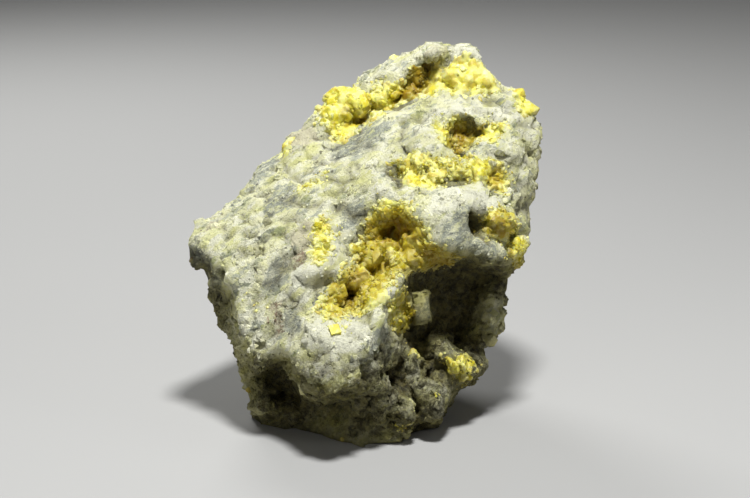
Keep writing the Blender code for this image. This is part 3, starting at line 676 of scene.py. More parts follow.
KEEP_LEVELS, LEVEL_REACH = (0.35, 0.5, 0.75, 1.0), 0.13   # how well each side keeps its triangles
triangles = triangles_of(skin.data)
if triangles > SKIN_TRIANGLES:
    group = skin.vertex_groups.new(name="keep")
    weight = np.clip(0.35 + 0.65 * smooth(facing, -0.5, 0.1), 0, 1)
    for level in KEEP_LEVELS:
        chosen = np.where(np.abs(weight - level) <= LEVEL_REACH)[0]
        group.add(chosen.tolist(), level, "REPLACE")
    modified(skin, "DECIMATE", ratio=SKIN_TRIANGLES / triangles, vertex_group="keep",
             vertex_group_factor=0.6)
skin.data.shade_smooth()


# ---------------------------------------------------------------- how sheltered the skin is
SKY = [Vector(v).normalized() for v in ((0, 0, 1), (0.5, -0.2, 1), (-0.5, -0.2, 1), (0.1, -0.7, 1),
                                        (0, 0.7, 1), (0.7, -1.0, 0.7), (-0.7, -1.0, 0.7),
                                        (0, -1.4, 0.8), (1.2, 0.2, 0.7), (-1.2, 0.2, 0.7))]
SKY_REACH, SKY_LIFT = 70.0, 0.6         # mm
EDGE_ON, EDGE_COVER = 0.05, 0.8         # a surface turned from a direction counts as mostly covered


def sheltered(tree, points, dirs):
    """The share of the sky's directions that the rock itself covers over each point."""
    covered = np.zeros(len(points))
    for way in SKY:
        open_to = dirs @ np.array(way)
        for i in np.where(open_to > EDGE_ON)[0]:
            start = Vector(points[i] + dirs[i] * SKY_LIFT)
            if tree.ray_cast(start, way, SKY_REACH)[0] is not None:
                covered[i] += 1
        covered[open_to <= EDGE_ON] += EDGE_COVER
    return covered / len(SKY)


mesh = skin.data
points, dirs, edges = coords(mesh), normals(mesh), edges_of(mesh)
# How sunk and how sheltered each point lies; both mask the painted shade of the creases, hollows and
# undersides.
cover, deep = (sunk(points, edges, dirs, rounds) for rounds in (12, 90))
put(mesh, "cavity", np.clip(smooth(cover, 0.05, 0.9) * 0.7 + smooth(deep, 0.6, 3.5) * 0.6, 0, 1))
put(mesh, "tone", np.full(len(points), 0.5))
tree = tree_of(mesh)
put(mesh, "shelter", relaxed(sheltered(tree, points, dirs), edges, 4))


# ---------------------------------------------------------------- materials
class Nodes:
    """A material's node tree, written from left to right."""

    def __init__(self, name):
        self.material = bpy.data.materials.new(name)
        self.material.use_nodes = True
        self.tree = self.material.node_tree
        self.shader = self.tree.nodes["Principled BSDF"]

    def node(self, kind, **settings):
        node = self.tree.nodes.new(kind)
        for key, value in settings.items():
            setattr(node, key, value)
        return node

    def feed(self, value, target):
        """Links an output to a socket, or sets the socket to a number."""
        if hasattr(value, "is_output"):
            self.tree.links.new(value, target)
        else:
            target.default_value = value

    def attribute(self, name):
        """A number that the mesh keeps for each of its points."""
        return self.node("ShaderNodeAttribute", attribute_name=name).outputs["Fac"]

    def place(self, along=False, salt=0):
        """Where in the rock a point is; along stretches what follows with the rock's grain."""
        n = self.node("ShaderNodeMapping", vector_type="TEXTURE")
        self.feed(self.node("ShaderNodeTexCoord").outputs["Object"], n.inputs["Vector"])
        n.inputs["Location"].default_value = (salt * 0.31, salt * 0.17, salt * 0.23)
        if along:
            n.inputs["Rotation"].default_value = BEDDING
            n.inputs["Scale"].default_value = GRAIN_STRETCH
        return n.outputs["Vector"]

    def noise(self, size_mm, detail=4.0, rough=0.6, along=False, salt=0):
        """Cloudy noise about 0.5, with lumps of that size."""
        n = self.node("ShaderNodeTexNoise")
        self.feed(self.place(along, salt), n.inputs["Vector"])
        n.inputs["Scale"].default_value = 1 / (size_mm * MM)
        n.inputs["Detail"].default_value = detail
        n.inputs["Roughness"].default_value = rough
        return n.outputs["Fac"]

    def grains(self, size_mm):
        """Distance from the middles of grains of that size."""
        n = self.node("ShaderNodeTexVoronoi")
        self.feed(self.place(), n.inputs["Vector"])
        n.inputs["Scale"].default_value = 1 / (size_mm * MM)
        return n.outputs["Distance"]

    def broken(self, size_mm, warp_mm, warp_share, along, salt, feature="F1"):
        """The rock broken into pieces of that size with ragged edges, as a Voronoi node."""
        warp = self.node("ShaderNodeTexNoise")
        self.feed(self.place(along, salt), warp.inputs["Vector"])
        for name, value in (("Scale", 1 / (size_mm * warp_share * MM)), ("Detail", 5), ("Roughness", 0.7)):
            warp.inputs[name].default_value = value
        moved = self.node("ShaderNodeVectorMath", operation="MULTIPLY_ADD")
        self.feed(warp.outputs["Color"], moved.inputs[0])
        moved.inputs[1].default_value = (2 * warp_mm * MM,) * 3
        self.feed(self.place(along, salt), moved.inputs[2])
        n = self.node("ShaderNodeTexVoronoi", feature=feature)
        self.feed(moved.outputs[0], n.inputs["Vector"])
        n.inputs["Scale"].default_value = 1 / (size_mm * MM)
        return n

    def chips(self, size_mm, warp_mm, along=False, salt=0):
        """A number for each chip of the broken rock."""
        split = self.node("ShaderNodeSeparateColor")
        self.feed(self.broken(size_mm, warp_mm, 0.8, along, salt).outputs["Color"], split.inputs[0])
        return split.outputs[0]

    def cracks(self, size_mm, warp_mm):
        """Distance from a net of cracks that run along the rock's grain, in cells."""
        return self.broken(size_mm, warp_mm, 0.5, True, 0, "DISTANCE_TO_EDGE").outputs["Distance"]

    def ramp(self, value, stops):
        """The colour that lies at a value between the stops."""
        n = self.node("ShaderNodeValToRGB")
        band = n.color_ramp
        while len(band.elements) > 1:
            band.elements.remove(band.elements[-1])
        band.elements[0].position, band.elements[0].color = stops[0][0], (*stops[0][1], 1)
        for position, colour in stops[1:]:
            band.elements.new(position).color = (*colour, 1)
        self.feed(value, n.inputs["Fac"])
        return n.outputs["Color"]

    def math(self, operation, a, b):
        n = self.node("ShaderNodeMath", operation=operation)
        self.feed(a, n.inputs[0])
        self.feed(b, n.inputs[1])
        return n.outputs[0]

    def ease(self, value, low, high, to_low=0.0, to_high=1.0):
        """A value's rise from low to high, made to run from to_low to to_high."""
        n = self.node("ShaderNodeMapRange", interpolation_type="SMOOTHSTEP")
        self.feed(value, n.inputs["Value"])
        for name, v in (("From Min", low), ("From Max", high), ("To Min", to_low), ("To Max", to_high)):
            n.inputs[name].default_value = v
        return n.outputs["Result"]

    def mix(self, share, a, b, blend="MIX"):
        """Colour a, with a share of colour b blended in."""
        n = self.node("ShaderNodeMix", data_type="RGBA", blend_type=blend)
        self.feed(share, n.inputs["Factor"])
        for value, name in ((a, "A"), (b, "B")):
            target = next(i for i in n.inputs if i.name == name and i.type == "RGBA")
            self.feed(value if hasattr(value, "is_output") else (*value, 1.0), target)
        return next(o for o in n.outputs if o.type == "RGBA")

    def bump(self, height, distance_mm, strength=1.0, after=None):
        """The surface's direction, tilted by a height, on top of an earlier bump if one is given."""
        n = self.node("ShaderNodeBump")
        n.inputs["Strength"].default_value = strength
        n.inputs["Distance"].default_value = distance_mm * MM
        self.feed(height, n.inputs["Height"])
        if after is not None:
            self.feed(after, n.inputs["Normal"])
        return n.outputs["Normal"]


IVORY = (0.93, 0.92, 0.58)
BUTTER = (0.80, 0.80, 0.30)
SAGE = (0.40, 0.44, 0.20)
ASH = (0.265, 0.285, 0.245)
PALE_ASH = (0.50, 0.525, 0.42)
CHALK = (0.95, 0.945, 0.74)
RUST = (0.30, 0.20, 0.13)
SAND = (0.66, 0.61, 0.42)
LEMON = (0.66, 0.57, 0.018)
CREAM_YELLOW = (0.80, 0.76, 0.15)
# The ochre of the painted shade in the sulfur's creases and hollows.
SHADE_OCHRE = (0.27, 0.195, 0.006)
# Honey amber: the sulfur's own colour, and painted shade in the hollows.
HONEY_AND_SHADE = (0.25, 0.140, 0.004)
# The dark olive of the painted shade in the creases and the hollows.
CREVICE_SHADE = (0.030, 0.026, 0.015)
PALE_SULFUR = (0.84, 0.82, 0.36)
DEEP_SULFUR = (0.44, 0.31, 0.008)
# The near-black colour of the painted shade on the undercut and the undersides.
UNDERSIDE_SHADE = (0.050, 0.043, 0.020)
PALE_YELLOW = (0.82, 0.82, 0.42)
# Dark colour of the painted shade specks and of the cracks along the grain.
CRACK_AND_SPECK_SHADE = (0.24, 0.235, 0.14)
LICHEN = (0.70, 0.72, 0.24)
# The warm tint of the painted shade where the rock covers much of the sky.
WARM_SHELTER_SHADE = (0.95, 0.90, 0.55)
BEDDING = (0.0, math.radians(-38), 0.0)  # the way in which the rock's grain runs
GRAIN_STRETCH = (2.4, 1.2, 1.0)


def rock_material():
    """Broken pale rock: chips, clasts, chalk, pits, a wash of sulfur, and painted shade in its creases,
    hollows and undersides.
    """
    m = Nodes("matrix_rock_crust")
    ragged = m.math("SUBTRACT", m.noise(2.6, 5, 0.75), 0.5)

    def zone(name, spread=1.1, low=0.36, high=0.64):
        """An attribute with its edge broken up by noise."""
        return m.ease(m.math("ADD", m.attribute(name), m.math("MULTIPLY", ragged, spread)), low, high)

    # Broken rock: streaky chips of white, cream and greenish yellow, with a few grey ones.
    colour = m.ramp(m.chips(3.6, 2.4, along=True), [
        (0.0, CHALK), (0.30, CHALK), (0.33, IVORY), (0.52, IVORY), (0.55, PALE_YELLOW),
        (0.70, PALE_YELLOW), (0.73, CHALK), (0.86, IVORY), (0.89, PALE_ASH), (0.94, PALE_ASH),
        (0.96, SAGE), (1.0, ASH)])
    small = m.ramp(m.chips(1.7, 1.2, along=True, salt=7), [
        (0.0, IVORY), (0.28, PALE_YELLOW), (0.46, CHALK), (0.80, IVORY), (0.90, CHALK),
        (0.95, PALE_ASH), (1.0, SAGE)])
    colour = m.mix(m.ease(m.noise(5, 4, 0.7), 0.42, 0.58, 0.1, 0.7), colour, small)
    colour = m.mix(m.ease(m.noise(10, 4, 0.7, along=True, salt=1), 0.52, 0.64, 0, 0.6), colour, BUTTER)
    grey = m.mix(m.ease(m.noise(2.6, 5, 0.75, along=True), 0.38, 0.62), ASH, PALE_ASH)
    grey = m.mix(m.ease(m.noise(1.3, 3, 0.7), 0.58, 0.68, 0, 0.8), grey, IVORY)
    colour = m.mix(zone("halo", 0.9, 0.30, 0.62), colour,
                   m.mix(m.ease(m.noise(1.7, 4, 0.8, salt=9), 0.42, 0.58), PALE_YELLOW, IVORY))
    mottled = m.ease(m.noise(2.6, 6, 0.8, along=True, salt=10), 0.42, 0.54, 0.2, 1.0)
    colour = m.mix(m.math("MULTIPLY", zone("clast", 0.9, 0.42, 0.58), mottled), colour, grey)
    colour = m.mix(zone("beige"), colour, m.mix(m.noise(3, 4, salt=3), SAND, (0.76, 0.73, 0.50)))
    colour = m.mix(zone("brown"), colour, m.mix(m.ease(m.noise(1.8, 4), 0.4, 0.6), RUST, SAND))
    white = m.mix(m.ease(m.noise(3.2, 4, 0.7, salt=4), 0.5, 0.66, 0, 0.5), CHALK, IVORY)
    colour = m.mix(zone("chalk"), colour, white)
    yellow = m.mix(m.ease(m.noise(4, 4, 0.7), 0.40, 0.60), LEMON, CREAM_YELLOW)
    # Honey amber on the skin's sulfur: its own colour, and painted shade in the hollows.
    yellow = m.mix(m.attribute("amber"), yellow, HONEY_AND_SHADE)
    colour = m.mix(zone("sulfur", 1.3), colour, yellow)
    # Small dark specks, painted as the shade of tiny crevices.
    colour = m.mix(m.ease(m.noise(1.1, 3, 0.7, along=True, salt=11), 0.66, 0.72, 0, 0.7), colour, CRACK_AND_SPECK_SHADE)
    colour = m.mix(m.ease(m.noise(1.8, 4, 0.75, along=True, salt=12), 0.60, 0.66, 0, 0.6), colour, LICHEN)
    # Dark cracks along the grain, in the same colour.
    rift = m.ease(m.cracks(7.0, 3.0), 0.0, 0.035, 0.75, 0.0)
    colour = m.mix(m.math("MULTIPLY", rift, m.ease(m.noise(9, 3, salt=15), 0.48, 0.56)), colour, CRACK_AND_SPECK_SHADE)
    # Painted shade: the colour is darkened and warmed where the rock itself covers much of the sky over a
    # point.
    shelter_shade = m.ease(m.attribute("shelter"), 0.3, 0.7, 0, 0.9)
    colour = m.mix(shelter_shade, colour, WARM_SHELTER_SHADE, "MULTIPLY")
    # Painted shade on the undercut and the undersides, broken up by noise so that the lumps' tops stay
    # lighter.
    shade_breakup = m.ease(m.noise(3.2, 5, 0.75, salt=14), 0.40, 0.60, 0.55, 1.0)
    colour = m.mix(m.math("MULTIPLY", m.attribute("dark"), shade_breakup), colour, UNDERSIDE_SHADE)
    tone = m.ease(m.attribute("tone"), 0, 1, 0.74, 1.16)
    shade = m.node("ShaderNodeCombineColor")
    for k in range(3):
        m.feed(tone, shade.inputs[k])
    colour = m.mix(1.0, colour, shade.outputs[0], "MULTIPLY")
    # Painted shade in the creases, the hollows and the sheltered places, lighter on the chalk and on the
    # sulfur.
    olive = m.mix(m.ease(m.noise(3, 3), 0.4, 0.6), CREVICE_SHADE, (0.12, 0.10, 0.03))
    sunk = m.math("MAXIMUM", m.attribute("cavity"), m.ease(m.attribute("shelter"), 0.32, 0.85, 0, 0.97))
    crevice_shade = m.math("MULTIPLY", sunk, m.ease(m.noise(2.4, 4, 0.7), 0.3, 0.6, 0.75, 1.0))
    crevice_shade = m.math("MULTIPLY", crevice_shade, m.ease(m.attribute("chalk"), 0, 1, 1.0, 0.4))
    colour = m.mix(m.math("MULTIPLY", crevice_shade, m.ease(m.attribute("sulfur"), 0, 1, 0.9, 0.5)), colour, olive)
    m.feed(colour, m.shader.inputs["Base Color"])
    m.feed(m.ease(m.noise(2, 3), 0.3, 0.7, 0.62, 0.95), m.shader.inputs["Roughness"])
    m.shader.inputs["Specular IOR Level"].default_value = 0.3
    coarse = m.bump(m.noise(2.6, 7, 0.8), 2.0)
    fine = m.bump(m.grains(0.8), 0.30, 0.8, after=coarse)
    m.feed(fine, m.shader.inputs["Normal"])
    return m.material


def sulfur_material():
    """Greasy yellow crystals, amber in places, with painted ochre shade in their creases and sheltered
    hollows.
    """
    m = Nodes("sulfur")
    colour = m.mix(m.ease(m.noise(4.5, 4, 0.7), 0.36, 0.60), LEMON, CREAM_YELLOW)
    colour = m.mix(m.ease(m.attribute("sulfur"), 0.35, 0.9, 0.75, 0.0), colour, (0.74, 0.73, 0.34))
    colour = m.mix(m.ease(m.noise(2.2, 3, 0.7, salt=3), 0.60, 0.72, 0, 0.5), colour, IVORY)
    colour = m.mix(m.ease(m.attribute("tone"), 0.66, 0.86, 0, 0.6), colour, PALE_SULFUR)
    colour = m.mix(m.ease(m.attribute("tone"), 0.10, 0.30, 0.55, 0), colour, DEEP_SULFUR)
    # Painted shade: ochre darkening in the crystals' creases and in sheltered hollows.
    colour = m.mix(m.ease(m.attribute("cavity"), 0.08, 0.62), colour, SHADE_OCHRE)
    colour = m.mix(m.ease(m.attribute("shelter"), 0.25, 0.8, 0, 0.8), colour, SHADE_OCHRE)
    # Honey amber on the crystals: their own colour, and painted shade in the hollows.
    colour = m.mix(m.math("MULTIPLY", m.attribute("amber"), m.ease(m.noise(3, 3), 0.3, 0.55, 0.5, 1)),
                   colour, HONEY_AND_SHADE)
    m.feed(colour, m.shader.inputs["Base Color"])
    for name, value in (("Roughness", 0.42), ("IOR", 1.5), ("Specular IOR Level", 0.35),
                        ("Subsurface Weight", 0.4), ("Subsurface Radius", (1.0, 0.75, 0.12)),
                        ("Subsurface Scale", 0.0018)):
        m.shader.inputs[name].default_value = value
    m.feed(m.bump(m.noise(1.2, 4, 0.7), 0.22, 0.8), m.shader.inputs["Normal"])
    return m.material


ROCK = rock_material()
SULFUR = sulfur_material()
skin.data.materials.append(ROCK)
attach(skin, "root")
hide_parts("matrix_rock")


# ---------------------------------------------------------------- scattering
def faces_of(mesh):
    """A mesh's triangles as rows of three vertices."""
    mesh.calc_loop_triangles()
    t = np.empty(len(mesh.loop_triangles) * 3, np.int32)
    mesh.loop_triangles.foreach_get("vertices", t)
    return t.reshape(-1, 3)


tris = faces_of(skin.data)
corner = points[tris]
areas = np.linalg.norm(np.cross(corner[:, 1] - corner[:, 0], corner[:, 2] - corner[:, 0]), axis=1) / 2
LAYERS = ("sulfur", "clast", "chalk", "brown", "beige", "amber", "halo", "dark", "cavity", "shelter")
layer = {name: take(skin.data, name) for name in LAYERS}


def strewn(count, weight):
    """Random places on the skin, as often as the faces' weights ask: point, direction, vertex."""
    share = areas * weight[tris].mean(1)
    chosen = rolls.choice(len(tris), count, p=share / share.sum())
    a, b = rolls.random((2, count))
    flip = a + b > 1
    a[flip], b[flip] = 1 - a[flip], 1 - b[flip]
    c = corner[chosen]
    spot = c[:, 0] + a[:, None] * (c[:, 1] - c[:, 0]) + b[:, None] * (c[:, 2] - c[:, 0])
    lead = dirs[tris[chosen]].mean(1)
    return spot, lead / np.linalg.norm(lead, axis=1)[:, None], tris[chosen, 0]


def spaced(spot, radii, closeness):
    """The places that are left when none stands nearer to another than closeness times their radii."""
    kept, grid = [], {}
    cell = radii.max() * 2 * closeness
    for i, p in enumerate(spot):
        key = tuple((p // cell).astype(int))
        near = [j for a in (-1, 0, 1) for b in (-1, 0, 1) for c in (-1, 0, 1)
                for j in grid.get((key[0] + a, key[1] + b, key[2] + c), ())]
        if near:
            gaps = np.linalg.norm(spot[near] - p, axis=1)
            if np.any(gaps < closeness * (radii[near] + radii[i])):
                continue
        grid.setdefault(key, []).append(i)
        kept.append(i)
    return np.array(kept, int)


def rings(levels):
    """A closed four-sided solid through rings of (height, half width)."""
    solid = []
    for z, r in levels:
        solid += [(r * 0.81, 0, z), (0, r, z), (-r * 0.81, 0, z), (0, -r, z)]
    faces = [[4 * k + i, 4 * k + (i + 1) % 4, 4 * k + 4 + (i + 1) % 4, 4 * k + 4 + i]
             for k in range(len(levels) - 1) for i in range(4)]
    last = 4 * (len(levels) - 1)
    return np.array(solid, float), faces + [[3, 2, 1, 0], [last, last + 1, last + 2, last + 3]]


HABITS = [
    rings([(-0.7, 0.7), (-0.1, 1.0), (0.35, 0.86), (0.66, 0.55)]),
    rings([(-0.7, 0.8), (0.1, 1.0), (0.55, 0.72)]),
]
BRICK = [rings([(-0.8, 1.2), (0.0, 1.28), (0.75, 1.16)])]
PEBBLE = np.array((
    (0, 0, -1), (0.72, -0.53, -0.45), (-0.28, -0.85, -0.45), (-0.89, 0, -0.45), (-0.28, 0.85, -0.45),
    (0.72, 0.53, -0.45), (0.28, -0.85, 0.45), (-0.72, -0.53, 0.45), (-0.72, 0.53, 0.45),
    (0.28, 0.85, 0.45), (0.89, 0, 0.45), (0, 0, 1)), float)
PEBBLE_FACES = [
    (0, 1, 2), (1, 0, 5), (0, 2, 3), (0, 3, 4), (0, 4, 5), (1, 5, 10), (2, 1, 6), (3, 2, 7),
    (4, 3, 8), (5, 4, 9), (1, 10, 6), (2, 6, 7), (3, 7, 8), (4, 8, 9), (5, 9, 10), (6, 10, 11),
    (7, 6, 11), (8, 7, 11), (9, 8, 11), (10, 9, 11)]
LUMPS = [(PEBBLE, PEBBLE_FACES)] * 2


def scatter(name, spot, lead, radii, shapes, tilt, sink, flats, squash=1.0):
    """One mesh of many small solids set on the skin; flats are per-solid numbers kept as layers."""
    all_points, all_faces, start, counts = [], [], 0, []
    for i in range(len(spot)):
        shape, faces = shapes[dice.randrange(len(shapes))]
        stretch = np.array([dice.uniform(0.75, 1.25), dice.uniform(0.75, 1.25), dice.uniform(0.8, 1.25)])
        stretch[2] *= squash
        jitter = rolls.normal(0, UNEVENNESS, shape.shape)
        turn = (Vector(lead[i]).to_track_quat("Z", "Y").to_matrix()
                @ Matrix.Rotation(dice.uniform(0, 6.283), 3, "Z")
                @ Matrix.Rotation(dice.gauss(0, tilt), 3, "X")
                @ Matrix.Rotation(dice.gauss(0, tilt), 3, "Y"))
        solid = (shape + jitter) * stretch * radii[i]
        all_points.append(solid @ np.array(turn).T + spot[i] - lead[i] * radii[i] * sink)
        all_faces += [[v + start for v in f] for f in faces]
        start += len(shape)
        counts.append(len(shape))
    obj = build(name, in_box(np.concatenate(all_points)), all_faces)
    for key, values in flats.items():
        put(obj.data, key, np.repeat(values, counts))
    return obj


# ---------------------------------------------------------------- sulfur crystals
CRYSTAL_TRIES = 16000
CRISP_TRIES = 9000
CRUST_VOXEL = 0.42
CRUST_KEPT = 0.45                       # share of a crust's triangles that it keeps
CRUST_REACH = 60.0                      # mm within which a crystal finds the crust it belongs to
LEAST_RADIUS = 0.95                     # mm of the crystals that grow together
LARGE_ABOVE, LARGE_GROWTH = 0.95, 1.5   # a few crystals are larger
GROWN_GAP, CRISP_GAP = 0.42, 0.5        # how near neighbours stand, in sums of their radii
BRICKS = [(335, 331, 2.8), (286, 153, 1.5), (398, 424, 1.5)]  # pixel and radius in mm
BRICK_TOWARD, BRICK_TONE = 0.8, 0.5
# How each crust differs: crystal size, rounds of wear, share of crisp crystals, depth of its shading.
CRUST_STYLES = {"crown": (1.7, 8, 0.08, 0.25), "trough": (1.5, 4, 0.45, 0.8), "shelf": (1.0, 3, 0.35, 0.6),
                "great_hollow": (1.35, 1, 1.0, 1.15), "under_ledge": (1.2, 1, 0.8, 1.0),
                "rear_upper": (1.2, 1, 1.0, 1.0), "rear_lower": (1.1, 1, 1.0, 1.0),
                "shoulder": (1.3, 4, 0.3, 0.5), "right_knob": (1.0, 1, 0.8, 1.0)}
PLAIN_STYLE = (1.0, 1, 0.8, 0.9)
STYLES = np.array([CRUST_STYLES.get(n.replace("sulfur_crust_", ""), PLAIN_STYLE) for n in CRUST_NODES])

# Blunt crystals that grow together: place, direction, radius, owner and tone.
radii = 1.0 + 1.7 * rolls.random(CRYSTAL_TRIES) ** 1.7
radii[rolls.random(CRYSTAL_TRIES) > LARGE_ABOVE] *= LARGE_GROWTH
spot, lead, vertex = strewn(CRYSTAL_TRIES, smooth(layer["sulfur"], 0.25, 0.9))
_, owner = crust_distance(spot, CRUST_REACH)
radii *= 0.5 + 0.5 * smooth(layer["sulfur"][vertex], 0.4, 0.95)
radii *= STYLES[owner, 0]
order = np.argsort(-radii)
order = order[spaced(spot[order], radii[order], GROWN_GAP)]
order = order[radii[order] > LEAST_RADIUS]
spot, lead, radii, owner = spot[order], lead[order], radii[order], owner[order]
tones = rolls.random(len(spot))

# Small crisp crystals on and around the crusts, the same way.
at, out, vertex = strewn(CRISP_TRIES, smooth(layer["sulfur"], 0.1, 0.7))
size = 0.55 + 1.1 * rolls.random(CRISP_TRIES) ** 1.6
size = size * (0.55 + 0.45 * smooth(layer["sulfur"][vertex], 0.2, 0.9))
order = np.argsort(-size)
order = order[spaced(at[order], size[order], CRISP_GAP)]
_, crisp_owner = crust_distance(at[order], CRUST_REACH)
chosen = rolls.random(len(order)) < STYLES[crisp_owner, 2]
order, crisp_owner = order[chosen], crisp_owner[chosen]
crisp_at, crisp_out = at[order], out[order]
crisp_size = size[order] * STYLES[crisp_owner, 0]
crisp_tone = rolls.random(len(crisp_at))

# A few squared crystals that stand where the view shows them.
skin_rock = tree_of(skin.data)
bricks = []
for x, y, radius in BRICKS:
    hit = sight_hit(skin_rock, x, y)
    if hit[0] is not None:
        bricks.append((np.array(hit[0]), np.array(hit[1]) + BRICK_TOWARD * TOWARD, radius))
brick_at, brick_out, brick_size = (np.array(column) for column in zip(*bricks))
_, brick_owner = crust_distance(brick_at, CRUST_REACH)
nearest = nearest_of(points)


def crust_piece(name, node, k):
    """The crystals of one crust grown together, with crisp ones standing on them."""
    mine, crisp, brick = (np.where(o == k)[0] for o in (owner, crisp_owner, brick_owner))
    mass = scatter(name, spot[mine], lead[mine], radii[mine], HABITS + LUMPS, 0.4, 0.4, {})
    modified(mass, "REMESH", mode="VOXEL", voxel_size=CRUST_VOXEL * MM)
    mesh = mass.data
    at, out, ties = coords(mesh), normals(mesh), edges_of(mesh)
    at = in_box(relaxed(at, ties, int(STYLES[k, 1])))
    set_coords(mesh, at)
    # How sunk each point of the crust lies, which masks the painted ochre shade of its crevices.
    hollow, broad = (sunk(at, ties, out, rounds) for rounds in (14, 80))
    cavity = smooth(hollow, 0.05, 0.8) * 0.5 + smooth(broad, 0.4, 2.2) * 0.6
    put(mesh, "cavity", np.clip(cavity * STYLES[k, 3], 0, 1))
    put(mesh, "tone", tones[mine][nearest_of(spot[mine])(at)])
    modified(mass, "DECIMATE", ratio=CRUST_KEPT)
    mesh = mass.data
    mesh.validate()
    mesh.shade_smooth()
    at, cavity, tone = coords(mesh), take(mesh, "cavity"), take(mesh, "tone")
    shape = bmesh.new()
    shape.from_mesh(mesh)
    brick_tone = np.full(len(brick), BRICK_TONE)
    for places, ways, sizes, own, shapes, tilt in (
            (crisp_at[crisp], crisp_out[crisp], crisp_size[crisp], crisp_tone[crisp], HABITS, 0.5),
            (brick_at[brick], brick_out[brick], brick_size[brick], brick_tone, BRICK, 0.1)):
        if len(places):
            stones = scatter("stones", places, ways, sizes, shapes, tilt, 0.05, {"tone": own})
            stones.data.shade_flat()
            shape.from_mesh(stones.data)
            each = len(stones.data.vertices)
            at = np.concatenate([at, coords(stones.data)])
            tone = np.concatenate([tone, take(stones.data, "tone")])
            cavity = np.concatenate([cavity, np.zeros(each)])
            bpy.data.objects.remove(stones)
    shape.to_mesh(mesh)
    shape.free()
    beneath = nearest(at)
    put(mesh, "cavity", cavity)
    put(mesh, "tone", tone)
    for key in ("amber", "sulfur", "shelter"):
        values = layer[key][beneath]
        if key == "sulfur" and len(brick):
            values[-each:] = 1.0
        put(mesh, key, values)
    mesh.materials.append(SULFUR)
    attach(mass, "root")
    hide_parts(node)


for k, crust_name in enumerate(CRUST_NODES):
    crust_piece(crust_name.replace("sulfur_crust_", "crystals_"), crust_name, k)


# ---------------------------------------------------------------- chips and crumbs on the matrix
CHIPS = 4500
CRUMBS = 6000


CHIP_SIZES, CRUMB_SIZES = (0.8, 3.2), (0.3, 1.0)         # mm


def strew(name, count, sizes, weight, tilt, sink, squash):
    """Loose-looking bits of the matrix, set in its skin and coloured as it is there."""
    at, out, vertex = strewn(count, weight)
    size = sizes[0] + (sizes[1] - sizes[0]) * rolls.random(count) ** 2.2
    bits = scatter(name, at, out, size, [(PEBBLE, PEBBLE_FACES)], tilt, sink,
                   {"tone": rolls.random(count), **{k: layer[k][vertex] for k in LAYERS}}, squash)
    bits.data.materials.append(ROCK)
    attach(bits, "root")


frontal = 0.35 + 0.65 * smooth(dirs @ TOWARD, -0.4, 0.1)
off_floor = smooth(points[:, 2], 2, 5)
bare = np.clip(1 - layer["sulfur"] * 0.7, 0.1, 1) * (1 - 0.4 * layer["chalk"])
drifts = 0.12 + 0.88 * smooth(swells(points, 14, 95, 3), -0.1, 0.35)
drifts = np.maximum(drifts, 2.0 * smooth(-points[:, 2], -80, -40))
bare = bare * frontal * off_floor
strew("matrix_chips", CHIPS, CHIP_SIZES, bare * drifts * (1 - 0.6 * layer["clast"]), 0.5, 0.4, 0.55)
strew("matrix_crumbs", CRUMBS, CRUMB_SIZES, bare * (1 - 0.85 * layer["clast"]), 0.8, 0.2, 0.9)


# ---------------------------------------------------------------- floor, light and camera
FLOOR_PROFILE = [(0.0, 0.0), (0.6, 0.0), (1.5, 0.0), (2.6, 0.0), (3.3, 0.05), (3.9, 0.25), (4.4, 0.7),
                 (4.6, 1.4), (4.7, 2.4)]      # radius and height in metres
FLOOR_SIDES = 48
FLOOR_COLOUR = (0.42, 0.42, 0.41, 1)
LAMPS = {  # place and size in metres, power in watts
    "key": ((0.08, -0.42, 1.22), 0.20, 20),
    "right": ((1.1, -0.5, 0.7), 0.5, 1.2),
    "back": ((-0.4, 1.0, 0.9), 0.5, 9),
    "fill": ((-0.7, -1.1, 0.6), 0.8, 1.6),
}
LAMPS_AIM = (0, 0, 0.1)                 # metres
WORLD_LIGHT = 0.06
LENS, SENSOR = 100, 36                  # mm
CLIP = (0.05, 20)                       # metres


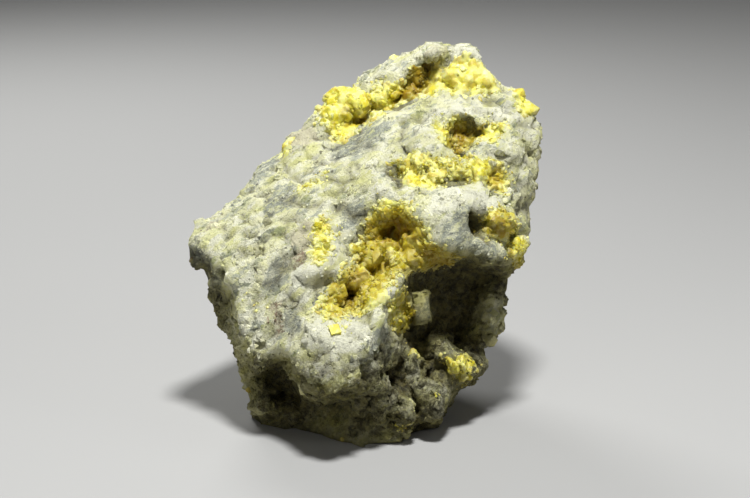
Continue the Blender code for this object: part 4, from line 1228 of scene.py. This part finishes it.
def floor():
    """A pale round floor that rises into a wall far out on every side."""
    ring = [(math.cos(2 * math.pi * i / FLOOR_SIDES), math.sin(2 * math.pi * i / FLOOR_SIDES))
            for i in range(FLOOR_SIDES)]
    mesh_points = [(0.0, 0.0, 0.0)] + [(r * x / MM, r * y / MM, z / MM)
                                       for r, z in FLOOR_PROFILE[1:] for x, y in ring]
    faces = [[0, 1 + i, 1 + (i + 1) % FLOOR_SIDES] for i in range(FLOOR_SIDES)]
    for k in range(len(FLOOR_PROFILE) - 2):
        low, high = 1 + k * FLOOR_SIDES, 1 + (k + 1) * FLOOR_SIDES
        faces += [[low + i, high + i, high + (i + 1) % FLOOR_SIDES, low + (i + 1) % FLOOR_SIDES]
                  for i in range(FLOOR_SIDES)]
    obj = build("studio_floor", mesh_points, faces)
    obj.data.shade_smooth()
    m = Nodes("studio_floor")
    m.shader.inputs["Base Color"].default_value = FLOOR_COLOUR
    m.shader.inputs["Roughness"].default_value = 0.9
    obj.data.materials.append(m.material)


def lamp(name, place, size, power):
    """A round soft light that looks at the rock."""
    data = bpy.data.lights.new(name, "AREA")
    data.shape, data.size, data.energy = "DISK", size, power
    obj = bpy.data.objects.new(name, data)
    obj.location = place
    obj.rotation_euler = (Vector(LAMPS_AIM) - Vector(place)).to_track_quat("-Z", "Y").to_euler()
    bpy.context.scene.collection.objects.link(obj)


floor()
for lamp_name, settings in LAMPS.items():
    lamp(lamp_name, *settings)
world = bpy.data.worlds.new("studio")
world.use_nodes = True
world.node_tree.nodes["Background"].inputs["Color"].default_value = (1.0, 1.0, 1.0, 1)
world.node_tree.nodes["Background"].inputs["Strength"].default_value = WORLD_LIGHT
bpy.context.scene.world = world
bpy.context.scene.view_settings.view_transform = "Standard"

camera = bpy.data.objects.new("camera", bpy.data.cameras.new("camera"))
camera.data.lens, camera.data.sensor_width = LENS, SENSOR
camera.location = CAMERA * MM
camera.rotation_euler = (math.pi / 2 - LEAN, 0, 0)
camera.data.clip_start, camera.data.clip_end = CLIP
bpy.context.scene.collection.objects.link(camera)
bpy.context.scene.camera = camera
